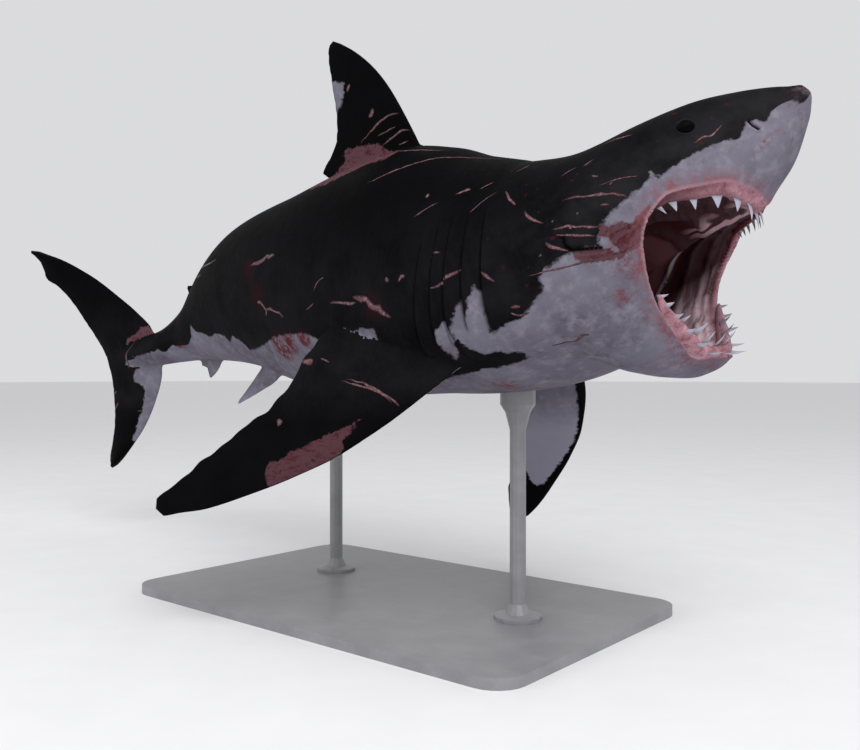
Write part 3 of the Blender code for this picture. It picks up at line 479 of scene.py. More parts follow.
def line_distance(points, line, closed=False):
    """Distance from flat points to a line, and which side of it they lie on."""
    line = np.array(line, float)
    ends = np.roll(line, -1, axis=0) if closed else line[1:]
    starts = line if closed else line[:-1]
    best = np.full(len(points), 9.0)
    side = np.ones(len(points))
    for start, end in zip(starts, ends):
        along = end - start
        t = np.clip(((points - start) @ along) / (along @ along), 0, 1)
        gap = points - start - t[:, None] * along
        far = np.hypot(gap[:, 0], gap[:, 1])
        cross = along[0] * (points[:, 1] - start[1]) - along[1] * (points[:, 0] - start[0])
        nearer = far < best
        best = np.where(nearer, far, best)
        side = np.where(nearer, np.sign(cross), side)
    return best, side


def inside_by(points, outline):
    """Signed distance inside a closed outline, negative outside it."""
    outline = np.array(outline, float)
    far, _ = line_distance(points, outline, True)
    inside = np.zeros(len(points), bool)
    x, y = points.T
    for (x0, y0), (x1, y1) in zip(outline, np.roll(outline, -1, axis=0)):
        crosses = (y0 > y) != (y1 > y)
        rise = y1 - y0 if y1 != y0 else 1e-9
        inside ^= crosses & (x < (x1 - x0) * (y - y0) / rise + x0)
    return np.where(inside, far, -far)


# ---------------------------------------------------------------- body sections
def half_width(a, z):
    """Half width of the body at a distance back and a height."""
    top, bottom, side = [float(smooth(a, BODY_LINES, column)) for column in (1, 2, 3)]
    keel = float(smooth(a, KEEL_LINES, 1)) if z < 0 else 2.0
    share = min(abs(z) / (top if z > 0 else bottom), 1.0)
    return side * (1 - share ** keel) ** (1 / keel)


def body_point(a, angle):
    """Place on the body at a distance back and an angle round it, from the left side over the back."""
    top, bottom, side = [smooth(a, BODY_LINES, column) for column in (1, 2, 3)]
    keel = smooth(a, KEEL_LINES, 1)
    c, s = np.cos(angle), np.sin(angle)
    power = 2 / np.where((s > 0) & (a <= 3.3), 2.0, keel)
    y = side * np.sign(c) * np.abs(c) ** power
    z = np.where(s > 0, top, bottom) * np.sign(s) * np.abs(s) ** power
    return np.stack([a, y, z], axis=1)


def girth(points):
    """g of points: -1 under the belly, 0 on the side, 1 on the back."""
    a, y, z = points.T
    at = np.clip(a, 0.002, 4.4)
    tall = np.where(z > 0, smooth(at, BODY_LINES, 1), smooth(at, BODY_LINES, 2))
    return np.arctan2(z / tall, np.abs(y) / smooth(at, BODY_LINES, 3)) / (math.pi / 2)


def flank(points):
    """Flat coordinates on the flank, in metres."""
    return np.stack([points[:, 0], girth(points) * FLANK_SPAN], axis=1)


def on_flank(line):
    """Flat coordinates of (a, g) places."""
    return [(a, g * FLANK_SPAN) for a, g in line]


def lean(g, a):
    """How far the gill slits lean back at a height on the flank, fading out fore and aft."""
    return smooth(g, GILL_LEAN, 1) * step(0.80, 1.00, a) * (1 - step(1.42, 1.62, a))


# ---------------------------------------------------------------- mouth
def mouth_rim():
    """Closed loop of the lips, from the middle of the upper lip down the left side."""
    left = [(a, half_width(a, z), z) for a, z in LEFT_RIM]
    right = [(a, -half_width(a, z), z) for a, z in reversed(RIGHT_RIM)]
    return [(UPPER_LIP[0], 0.0, UPPER_LIP[1])] + left + [(CHIN[0], 0.0, CHIN[1])] + right


def throat_copy(points, depth):
    """Rim points moved down the throat by a depth."""
    back, up, tall, wide = [smooth(depth, THROAT, column) for column in (1, 2, 3, 4)]
    a = THROAT_MIDDLE[0] + back + (points[:, 0] - THROAT_MIDDLE[0]) * tall
    z = THROAT_MIDDLE[1] + up + (points[:, 2] - THROAT_MIDDLE[1]) * tall
    return np.stack([a, points[:, 1] * wide, z], axis=1)


def throat_middle(depth):
    """Middle of the throat at a depth."""
    back, up = [smooth(depth, THROAT, column) for column in (1, 2)]
    return np.stack([THROAT_MIDDLE[0] + back, np.zeros(len(depth)), THROAT_MIDDLE[1] + up], axis=1)


def fold_height(points, depth):
    """Height of the folds of the mouth and throat, as a share of its width there."""
    height = np.zeros(len(depth))
    sway = ripple(points, 0.35, 4)
    for at, wide, tall, lag in THROAT_FOLDS:
        height += tall * bump(depth - at - lag * sway, wide) * (0.8 + 0.35 * ripple(points, 0.2, int(at * 100)))
    height += 0.012 * ripple(points, 0.05, 11) * step(0.1, 0.5, depth)
    return np.clip(height, -0.1, 0.3)


def throat_wall(loop, depth):
    """Wall of the mouth and throat with its folds."""
    points = throat_copy(loop, depth)
    middle = throat_middle(depth)
    return middle + (points - middle) * (1 - fold_height(points, depth))[:, None]


def gum_path(upper):
    """Points along a gum's middle, each with its directions along, out and in, and its size."""
    rim = mouth_rim()
    count = len(rim)
    inner = throat_copy(np.array(rim), np.full(count, 1.0))
    left, right = UPPER_GUM_SPAN if upper else LOWER_GUM_SPAN
    first = -right if upper else count // 2 - left
    last = left if upper else count // 2 + right
    way = np.array(UPPER_WAY if upper else LOWER_WAY)
    inset = UPPER_GUM_INSET if upper else LOWER_GUM_INSET
    chin, each = LOWER_GUM_LIFT
    rows = []
    for i in range(first, last + 1):
        here = np.array(rim[i % count])
        tangent = unit(np.array(rim[(i + 1) % count]) - np.array(rim[(i - 1) % count]))
        out = unit(way - tangent * (way @ tangent))
        side = np.cross(tangent, out)
        if side @ (inner[i % count] - here) < 0:
            side = -side
        size = math.sin(math.pi * (i - first + 0.6) / (last - first + 1.2)) ** (0.4 if upper else 0.75)
        arch, front = UPPER_GUM_LIFT
        share = (i - first) / (last - first)
        lift = arch * size + front * bump(share - 0.5, 0.16) if upper else chin + each * abs(i - count // 2)
        rows.append(np.array([here + side * inset + out * lift, tangent, out, side, [size] * 3]))
    return np.array(rows)


def unit(vector):
    """Vector of length one."""
    return vector / np.linalg.norm(vector)


def along(path, share):
    """Centres, directions and sizes at shares of the way along a gum."""
    rows = through(path, np.asarray(share, float) * (len(path) - 1))
    return rows[:, 0], rows[:, 1], rows[:, 2], rows[:, 3], rows[:, 4, 0]


# ---------------------------------------------------------------- mesh helpers
def sheet(across, length, place, zone=1):
    """Grid of faces shaped by place(u, v), with its seam and poles welded and its ends closed."""
    bm = bmesh.new()
    bmesh.ops.create_grid(bm, x_segments=across, y_segments=length, size=1.0)
    spots = np.array([vert.co[:] for vert in bm.verts])
    places = place((spots[:, 0] + 1) / 2, (spots[:, 1] + 1) / 2)
    for vert, spot in zip(bm.verts, places):
        vert.co = spot
    bmesh.ops.remove_doubles(bm, verts=bm.verts, dist=1e-6)
    bmesh.ops.holes_fill(bm, edges=[edge for edge in bm.edges if edge.is_boundary])
    bmesh.ops.recalc_face_normals(bm, faces=bm.faces)
    layer = bm.faces.layers.int.new("zone")
    for face in bm.faces:
        face[layer] = zone
    return bm


def as_object(name, bm):
    """Object made from a finished bmesh."""
    mesh = bpy.data.meshes.new(name)
    bm.to_mesh(mesh)
    bm.free()
    obj = bpy.data.objects.new(name, mesh)
    bpy.context.scene.collection.objects.link(obj)
    return obj


def joined(parts):
    """One bmesh holding several."""
    whole = bmesh.new()
    for part in parts:
        mesh = bpy.data.meshes.new("part")
        part.to_mesh(mesh)
        part.free()
        whole.from_mesh(mesh)
        bpy.data.meshes.remove(mesh)
    return whole


def carve(obj, other, operation):
    """Applies an exact Boolean with another object, then drops that object."""
    modifier = obj.modifiers.new("carve", "BOOLEAN")
    modifier.object = other
    modifier.operation = operation
    modifier.solver = "EXACT"
    graph = bpy.context.evaluated_depsgraph_get()
    mesh = bpy.data.meshes.new_from_object(obj.evaluated_get(graph))
    obj.modifiers.clear()
    obj.data = mesh
    bpy.data.objects.remove(other)


def spots_of(bm):
    """Places of all vertices."""
    return np.array([vert.co[:] for vert in bm.verts])


def place_all(bm, places):
    """Moves all vertices."""
    for vert, spot in zip(bm.verts, places):
        vert.co = spot


def give(obj, name, values):
    """Stores one number, or one vector, for each vertex."""
    kind = "FLOAT" if np.ndim(values) == 1 else "FLOAT_VECTOR"
    layer = obj.data.attributes.new(name, kind, "POINT")
    key = "value" if kind == "FLOAT" else "vector"
    layer.data.foreach_set(key, np.asarray(values, np.float32).ravel())


def settle(obj, material, nodes=()):
    """Shades a finished piece, paints it and hands it to the frame."""
    obj.data.materials.clear()
    obj.data.materials.append(material)
    obj.data.polygons.foreach_set("material_index", np.zeros(len(obj.data.polygons), np.int32))
    obj.data.shade_smooth()
    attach(obj, "root")
    if nodes:
        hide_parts(*nodes)


# ---------------------------------------------------------------- skin
def ring_places():
    """Distances back of the rings of the body, close together at the snout and the gill slits."""
    pace = ((0.00, 0.003), (0.03, 0.006), (0.15, 0.009), (1.00, 0.010), (1.40, 0.012), (1.70, 0.024), (4.40, 0.024))
    places = [0.0]
    while places[-1] < 4.398:
        near = min(abs(places[-1] + 0.003 - slit) for slit in GILL_SLITS)
        move = float(smooth(places[-1], pace, 1))
        places.append(min(places[-1] + (0.004 if near < 0.016 else move), 4.4))
    return np.array(places)


def body_sheet():
    """Whole body from the snout to the tail stalk."""
    rings = ring_places()

    def place(u, v):
        angle = u * 2 * math.pi
        a = rings[np.round(v * (len(rings) - 1)).astype(int)]
        start = body_point(a, angle)
        a = np.clip(a + lean(girth(start), a), 0, 4.4)
        return body_point(a, angle)

    return sheet(176, len(rings) - 1, place, ZONES["skin"])


def mouth_wall(u, v):
    """Places on the wall of the mouth, with their depth and the height of the folds there."""
    outer = len(GAPE_REACH)
    rim = mouth_rim()
    loop = through(rim, (u * len(rim)) % len(rim), True)
    row = np.round(v * (outer + MOUTH_RINGS)).astype(int)
    depth = np.clip((row - outer) / MOUTH_RINGS, 0, 1) * 5.0
    points = throat_wall(loop, depth)
    for k, (reach, flare) in enumerate(GAPE_REACH):
        away = loop * np.array([1, flare, 1]) + reach * np.array([GAPE[0], 0, GAPE[1]])
        points = np.where((row == k)[:, None], away, points)
    return points, depth, fold_height(throat_copy(loop, depth), depth)


def mouth_room():
    """Hollow of the open mouth, from in front of the lips to the back of the throat."""
    return sheet(228, len(GAPE_REACH) + MOUTH_RINGS, lambda u, v: mouth_wall(u, v)[0], ZONES["lining"])


def mouth_notes(points, lining):
    """Depth and fold height at points of the mouth, from the nearest place on its wall."""
    u, v = [grid.ravel() for grid in np.meshgrid(np.linspace(0, 1, 115), np.linspace(0.03, 1, 67))]
    wall, depth, fold = mouth_wall(u, v)
    tree = KDTree(len(wall))
    for index, spot in enumerate(wall):
        tree.insert(Vector(spot), index)
    tree.balance()
    near = np.array([tree.find(Vector(spot))[1] if inside else 0 for spot, inside in zip(points, lining)])
    return np.where(lining, depth[near], 0.0), np.where(lining, fold[near], 0.0)


def gum_sheet(upper):
    """Fleshy band along the lip, swollen round the foot of each tooth."""
    path = gum_path(upper)
    teeth = [row[0] for row in (UPPER_TEETH if upper else LOWER_TEETH)]
    half_thick = UPPER_GUM_THICK if upper else LOWER_GUM_THICK

    def place(u, v):
        centre, tangent, out, side, size = along(path, v)
        angle = u * 2 * math.pi
        feet = sum(bump(v - share, 0.022) for share in teeth)
        edge = step(0.0, 0.8, np.cos(angle))
        swell = 0.94 + 0.13 * np.clip(feet, 0, 1.2) * edge + 0.04 * ripple(centre, 0.03, 21)
        ends = np.sqrt(np.clip(1 - (2 * v - 1) ** 12, 0.0, 1))
        tall = (UPPER_GUM_HEIGHT if upper else LOWER_GUM_HEIGHT) * size * swell * ends * np.cos(angle)
        thick = half_thick * size * swell * ends * np.sin(angle)
        return centre + out * tall[:, None] + side * thick[:, None]

    return sheet(28, 170 if upper else 110, place, ZONES["gum"])


def blade(u, fronts, backs, normal, thick):
    """Streamlined section: u runs from the leading edge over one face and back under the other."""
    share = (1 - np.cos(2 * math.pi * u)) / 2
    swell = 2.6 * np.sqrt(share) * (1 - share) + 0.06 * np.sin(math.pi * share) ** 0.3
    offset = np.where(u < 0.5, 1, -1) * swell * thick / 2
    return fronts + (backs - fronts) * share[:, None] + normal * offset[:, None]


def tip_taper(r, end, size):
    """Share of the chord left near a fin's rounded tip."""
    return np.sqrt(np.clip(1 - np.clip((r - end + size) / size, 0, 1) ** 2, 0, 1))


def upright_sheet(lines, thick, taper, across, length, zone, fray=0.002):
    """Fin on the midline, from a table of heights and edges."""
    low, high = lines[0][0], lines[-1][0]
    down = abs(low) > abs(high)

    def place(u, v):
        z = low + (high - low) * v
        front, back = smooth(z, lines, 1), smooth(z, lines, 2)
        back = back + fray * ripple(np.stack([z, z * 0, z * 0], 1), 0.05, 31)
        share = (high - z) / (high - low) if down else v
        chord = tip_taper(-z if down else z, -low if down else high, 0.014)
        if low < 0 < high:
            chord = tip_taper(z, high, 0.014) * tip_taper(-z, -low, 0.014)
            share = np.abs(z) / high * 0
        middle = (front + back) / 2
        front, back = middle + (front - middle) * chord, middle + (back - middle) * chord
        zero = np.zeros(len(z))
        width = thick * (1 - taper * share) * np.clip(chord, 0.02, 1)
        ends = [np.stack([edge, zero, z], axis=1) for edge in (front, back)]
        return blade(u, ends[0], ends[1], np.array([0.0, 1.0, 0.0]), width)

    return sheet(across, length, place, zone)


def fin_axes(side, sweep, droop, twist):
    """Directions out along a paired fin, aft along its chord and across its blade."""
    sweep, droop, twist = [math.radians(angle) for angle in (sweep, droop, twist)]
    out = np.array([math.sin(sweep), side * math.cos(sweep) * math.cos(droop), -math.cos(sweep) * math.sin(droop)])
    aft = np.array([1.0, 0.0, 0.0])
    aft -= out * (out @ aft)
    aft /= np.linalg.norm(aft)
    across = np.cross(out, aft) * -side
    chord = math.cos(twist) * aft + math.sin(twist) * across
    return out, chord, np.cross(out, chord)


def paired_sheet(side, root, angles, lines, thick, across, length, zone, fray=0.003):
    """Fin on one side, lofted outwards from its root."""
    out, chord, normal = fin_axes(side, *angles)
    base = np.array([root[0], side * root[1], root[2]])
    low, high = lines[0][0], lines[-1][0]

    def place(u, v):
        r = low + (high - low) * v
        front, back = smooth(r, lines, 1), smooth(r, lines, 2)
        back = back + fray * ripple(np.stack([r, r * 0, r * 0], 1), 0.09, 33)
        part = tip_taper(r, high, 0.016)
        middle = (front + back) / 2
        front, back = middle + (front - middle) * part, middle + (back - middle) * part
        width = thick * (1 - 0.8 * np.maximum(r, 0) / high) * np.clip(part, 0.02, 1)
        spine = base + out * r[:, None]
        return blade(u, spine + chord * front[:, None], spine + chord * back[:, None], normal, width)

    return sheet(across, length, place, zone)


def fin_sheets():
    """All the fins."""
    mid, anal = ZONES["midfin"], ZONES["anal"]
    return [
        upright_sheet(DORSAL_LINES, 0.075, 0.85, 56, 46, mid),
        upright_sheet(CAUDAL_LINES, 0.050, 0.0, 44, 84, mid),
        upright_sheet(SECOND_DORSAL_LINES, 0.018, 0.7, 24, 14, mid, 0.001),
        upright_sheet(ANAL_LINES, 0.018, 0.7, 24, 14, anal, 0.001),
        paired_sheet(-1, PECTORAL_ROOT, PECTORAL_RIGHT, PECTORAL_RIGHT_LINES, 0.070, 64, 76, ZONES["fin_right"], 0.008),
        paired_sheet(1, PECTORAL_ROOT, PECTORAL_LEFT, PECTORAL_LEFT_LINES, 0.070, 64, 76, ZONES["fin_left"]),
        paired_sheet(-1, PELVIC_ROOT, PELVIC_SET, PELVIC_LINES, 0.026, 32, 26, ZONES["pelvic"], 0.001),
        paired_sheet(1, PELVIC_ROOT, PELVIC_SET, PELVIC_LINES, 0.026, 32, 26, ZONES["pelvic"], 0.001),
    ]


def refine(bm, chosen, cuts):
    """Splits the faces whose middles are chosen."""
    middles = np.array([face.calc_center_median()[:] for face in bm.faces])
    keep = chosen(middles)
    edges = {edge for face, wanted in zip(bm.faces, keep) if wanted for edge in face.edges}
    bmesh.ops.subdivide_edges(bm, edges=list(edges), cuts=cuts, use_grid_fill=True)


def detail_places(middles):
    """Faces near the eyes and the nostrils."""
    eye = np.linalg.norm(np.abs(middles * [0, 1, 0]) + middles * [1, 0, 1] - EYE_AT, axis=1) < 0.075
    spot = flank(middles)
    nose, _ = line_distance(spot, on_flank(NOSTRIL))
    return eye | ((nose < 0.045) & (middles[:, 0] < 0.3))


def corner_places(middles):
    """Faces round the corners of the mouth."""
    spot = flank(middles)
    return (inside_by(spot, on_flank(SCAR_CORNER)) > -0.05) & (middles[:, 0] > 0.45)


def zone_shares(bm):
    """For each zone, the share of it among the faces round each vertex."""
    layer = bm.faces.layers.int["zone"]
    bm.verts.index_update()
    shares = np.zeros((len(bm.verts), len(ZONES) + 1))
    for face in bm.faces:
        for vert in face.verts:
            shares[vert.index, face[layer]] += 1
    return shares / shares.sum(axis=1, keepdims=True)


def soften(bm, rounds):
    """Rounds off the seams between zones."""
    shares = zone_shares(bm)
    mixed = shares.max(axis=1) < 0.999
    bm.verts.ensure_lookup_table()
    near = set(np.nonzero(mixed)[0].tolist())
    band = set(near)
    for _ in range(2):
        band |= {edge.other_vert(bm.verts[i]).index for i in band for edge in bm.verts[i].link_edges}
    wide = [bm.verts[i] for i in band]
    for _ in range(rounds):
        bmesh.ops.smooth_vert(bm, verts=wide, factor=0.5, use_axis_x=True, use_axis_y=True, use_axis_z=True)


def gill_relief(points):
    """Height of the skin round the gill slits, and how deep in a slit each point lies, which sets the painted shade in
    the slits.
    """
    g = girth(points)
    a = points[:, 0] - lean(g, points[:, 0])
    height = np.zeros(len(points))
    crease_shade = np.zeros(len(points))
    for slit, top, bottom in zip(GILL_SLITS, GILL_TOP, GILL_BOTTOM):
        open_here = step(bottom - 0.03, bottom + 0.05, g) * (1 - step(top - 0.06, top + 0.03, g))
        gap = a - slit
        height += open_here * (-0.018 * bump(gap - 0.002, 0.006) + 0.009 * bump(gap + 0.013, 0.013)
                               - 0.005 * bump(gap - 0.022, 0.018))
        crease_shade += open_here * bump(gap - 0.001, 0.0060)
    return height, crease_shade


def eye_relief(points, normals):
    """Height of the skin round the eyes, and how close each point is to a lid."""
    height = np.zeros(len(points))
    lid = np.zeros(len(points))
    for side in (1, -1):
        centre = np.array(EYE_AT) * [1, side, 1]
        offset = points - centre
        out = normals[np.argmin(np.linalg.norm(offset, axis=1))]
        radial = np.linalg.norm((offset - np.outer(offset @ out, out)) * [1, 1, 0.85], axis=1)
        radial = np.where(np.linalg.norm(offset, axis=1) < 0.12, radial, 9.0)
        height += 0.0035 * bump(radial - LID_RADIUS - 0.005, 0.005) - 0.012 * (1 - step(0.018, LID_RADIUS, radial))
        height -= 0.0015 * bump(radial - LID_RADIUS - 0.014, 0.005)
        lid += bump(radial - LID_RADIUS, 0.006)
    return height, lid


def head_relief(points):
    """Height of the skin at the nostrils, the torn corner and its wrinkles, and where painted shade darkens the creases
    there.
    """
    spot = flank(points)
    right = points[:, 1] < 0
    nose, side = line_distance(spot, on_flank(NOSTRIL))
    ahead = points[:, 0] < 0.3
    height = np.where(ahead, -0.009 * bump(nose, 0.005) + 0.004 * bump(nose - 0.010, 0.006) * (side > 0), 0)
    crease_shade = np.where(ahead, bump(nose, 0.005), 0)
    fold, _ = line_distance(spot, on_flank(NOSTRIL_CREASE))
    height += np.where(ahead, -0.003 * bump(fold, 0.004), 0)
    flap, side = line_distance(spot, on_flank(CORNER_FLAP))
    signed = flap * side
    height += np.where(right, 0.009 * bump(signed + 0.010, 0.010) - 0.012 * bump(signed - 0.003, 0.006), 0)
    crease_shade += np.where(right, bump(signed - 0.002, 0.006), 0)
    torn = step(-0.03, 0.02, inside_by(spot, on_flank(SCAR_CORNER))) * right
    height += torn * 0.0035 * np.sin(spot[:, 1] * 420 + 6 * np.sin(spot[:, 0] * 40))
    return height, crease_shade, torn


def make_skin_mesh():
    """Straight fish as one closed mesh, with the share of each zone at each vertex."""
    skin = as_object("shark_skin", body_sheet())
    carve(skin, as_object("fins", joined(fin_sheets())), "UNION")
    carve(skin, as_object("mouth", mouth_room()), "DIFFERENCE")
    carve(skin, as_object("gums", joined([gum_sheet(True), gum_sheet(False)])), "UNION")
    bm = bmesh.new()
    bm.from_mesh(skin.data)
    bmesh.ops.remove_doubles(bm, verts=bm.verts, dist=0.0008)
    refine(bm, detail_places, 2)
    refine(bm, corner_places, 1)
    soften(bm, 6)
    bmesh.ops.recalc_face_normals(bm, faces=bm.faces)
    return skin, bm


def mark_skin(obj, points, shares, crease_shade, lid, torn):
    """Stores where each colour of the skin lies."""
    spot = flank(points)
    right = points[:, 1] < 0.0
    body = shares[:, ZONES["skin"]]
    outline = on_flank(PALE_EDGE) + [(4.5, -1.4), (-0.4, -1.4), (-0.4, -0.2)]
    pale = inside_by(spot, outline)
    for patch in (PALE_GILL, PALE_PATCH):
        pale = np.maximum(pale, inside_by(spot, on_flank(patch)) + 0.012)
    upright = points[:, [0, 2]]
    tail = inside_by(upright, PALE_CAUDAL)
    mid = shares[:, ZONES["midfin"]]
    pale = np.where(mid > 0.5, np.where(points[:, 0] > 3.9, tail, -0.1), pale)
    pale = np.where((mid <= 0.5) & (points[:, 0] > 3.9), np.maximum(pale, tail), pale)
    pale = np.where(shares[:, ZONES["anal"]] + shares[:, ZONES["pelvic"]] > 0.5, 0.1, pale)
    scar = np.full(len(points), -0.2)
    for name, side, angles in (("fin_right", -1, PECTORAL_RIGHT), ("fin_left", 1, PECTORAL_LEFT)):
        out, chord, normal = fin_axes(side, *angles)
        local = points - np.array([PECTORAL_ROOT[0], side * PECTORAL_ROOT[1], PECTORAL_ROOT[2]])
        flat = np.stack([local @ out, local @ chord], axis=1)
        below = (local @ normal) * (-1 if normal[2] > 0 else 1)
        on_fin = shares[:, ZONES[name]] > 0.5
        under = np.where(below > 0, inside_by(flat, PALE_PECTORAL), -0.1)
        pale = np.where(on_fin, under, pale)
        if side < 0:
            top = np.where(below <= 0, inside_by(flat, SCAR_PECTORAL), -0.1)
            scar = np.where(on_fin, top, scar)
    shown = right & (points[:, 2] > 0.40) & (points[:, 0] > 1.7) & (points[:, 0] < 2.4)
    scar = np.where(shown, np.maximum(scar, inside_by(upright, SCAR_DORSAL)), scar)
    bare = (mid > 0.5) & (points[:, 0] < 2.6)
    pale = np.where(bare, inside_by(upright, PALE_DORSAL), pale)
    scar = np.where((mid > 0.2) & right & (points[:, 0] > 3.9), np.maximum(scar, inside_by(upright, SCAR_CAUDAL)), scar)
    corner = inside_by(spot, on_flank(SCAR_CORNER))
    scar = np.where(right & (body > 0.5) & (points[:, 0] < 1.0), np.maximum(scar, corner), scar)
    sore = np.zeros(len(points))
    for (a, g), reach in SORE_PLACES:
        far = np.hypot(spot[:, 0] - a, spot[:, 1] - g * FLANK_SPAN)
        sore = np.maximum(sore, step(reach, 0.0, far) * (body > 0.5))
    give(obj, "sore", sore)
    rim = through(mouth_rim(), np.arange(0, len(mouth_rim()), 0.25), True)
    far = np.full(len(points), 9.0)
    for knot in rim:
        far = np.minimum(far, np.linalg.norm(points - knot, axis=1))
    deep, fold = mouth_notes(points, shares[:, ZONES["lining"]] + shares[:, ZONES["gum"]] > 0.1)
    give(obj, "deep", deep)
    give(obj, "fold", fold)
    give(obj, "straight", points)
    give(obj, "pale", np.clip(pale, -0.2, 0.2))
    give(obj, "scar", np.clip(scar, -0.2, 0.2))
    give(obj, "gum", shares[:, ZONES["gum"]])
    give(obj, "mouth", shares[:, ZONES["lining"]] + shares[:, ZONES["gum"]])
    give(obj, "rim", np.clip(far, 0, 1))
    give(obj, "crease_shade", np.clip(crease_shade, 0, 1))
    give(obj, "lid", np.clip(lid, 0, 1))
    give(obj, "torn", torn)


# ---------------------------------------------------------------- materials
def linear(code):
    """Linear colour of an sRGB hex value."""
    parts = [int(code[i:i + 2], 16) / 255 for i in (1, 3, 5)]
    return tuple(p / 12.92 if p <= 0.04045 else ((p + 0.055) / 1.055) ** 2.4 for p in parts)


def add(tree, kind, links=(), values=(), **settings):
    """Adds a node with its settings, its values and the links into it."""
    node = tree.nodes.new(kind)
    for name, value in settings.items():
        setattr(node, name, value)
    for name, value in values:
        node.inputs[name].default_value = value
    for name, socket in links:
        tree.links.new(socket, node.inputs[name])
    return node


def attribute(tree, name):
    """Number stored on the piece."""
    return add(tree, "ShaderNodeAttribute", attribute_name=name).outputs["Fac"]


def noise(tree, vector, scale, detail=4.0, rough=0.5, stretch=None):
    """Irregular pattern between 0 and 1."""
    if stretch:
        vector = add(tree, "ShaderNodeMapping", [("Vector", vector)], [("Scale", stretch)]).outputs[0]
    values = [("Scale", scale), ("Detail", detail), ("Roughness", rough)]
    return add(tree, "ShaderNodeTexNoise", [("Vector", vector)], values).outputs[0]


def veins(tree, pattern, width):
    """Thin winding lines where a pattern crosses its middle."""
    off = add(tree, "ShaderNodeMath", [(0, maths(tree, "SUBTRACT", pattern, 0.5))], operation="ABSOLUTE")
    return ramp(tree, off.outputs[0], width, 0.0)


def ramp(tree, value, low, high, start=0.0, end=1.0):
    """Value stretched from one range to another, and held at its ends."""
    values = [("From Min", low), ("From Max", high), ("To Min", start), ("To Max", end)]
    return add(tree, "ShaderNodeMapRange", [("Value", value)], values).outputs[0]


def maths(tree, operation, first, second):
    """Two values, or a value and a number, put together."""
    links = [(0, first)]
    values = []
    if isinstance(second, (int, float)):
        values.append((1, float(second)))
    else:
        links.append((1, second))
    return add(tree, "ShaderNodeMath", links, values, operation=operation).outputs[0]


def mixed(tree, share, first, second):
    """Blend of two colours, each given as a socket or as a linear colour."""
    links = [(0, share)]
    values = []
    for index, colour in ((6, first), (7, second)):
        if isinstance(colour, tuple):
            values.append((index, (*colour, 1.0)))
        else:
            links.append((index, colour))
    return add(tree, "ShaderNodeMix", links, values, data_type="RGBA").outputs[2]


def blank(name):
    """New material and its shader."""
    material = bpy.data.materials.new(name)
    material.use_nodes = True
    return material, material.node_tree, material.node_tree.nodes["Principled BSDF"]


def ragged(tree, distance, pattern, reach, soft):
    """1 inside an edge and 0 outside it, frayed by a pattern."""
    shift = maths(tree, "MULTIPLY", maths(tree, "SUBTRACT", pattern, 0.5), reach)
    return ramp(tree, maths(tree, "ADD", distance, shift), -soft, soft)


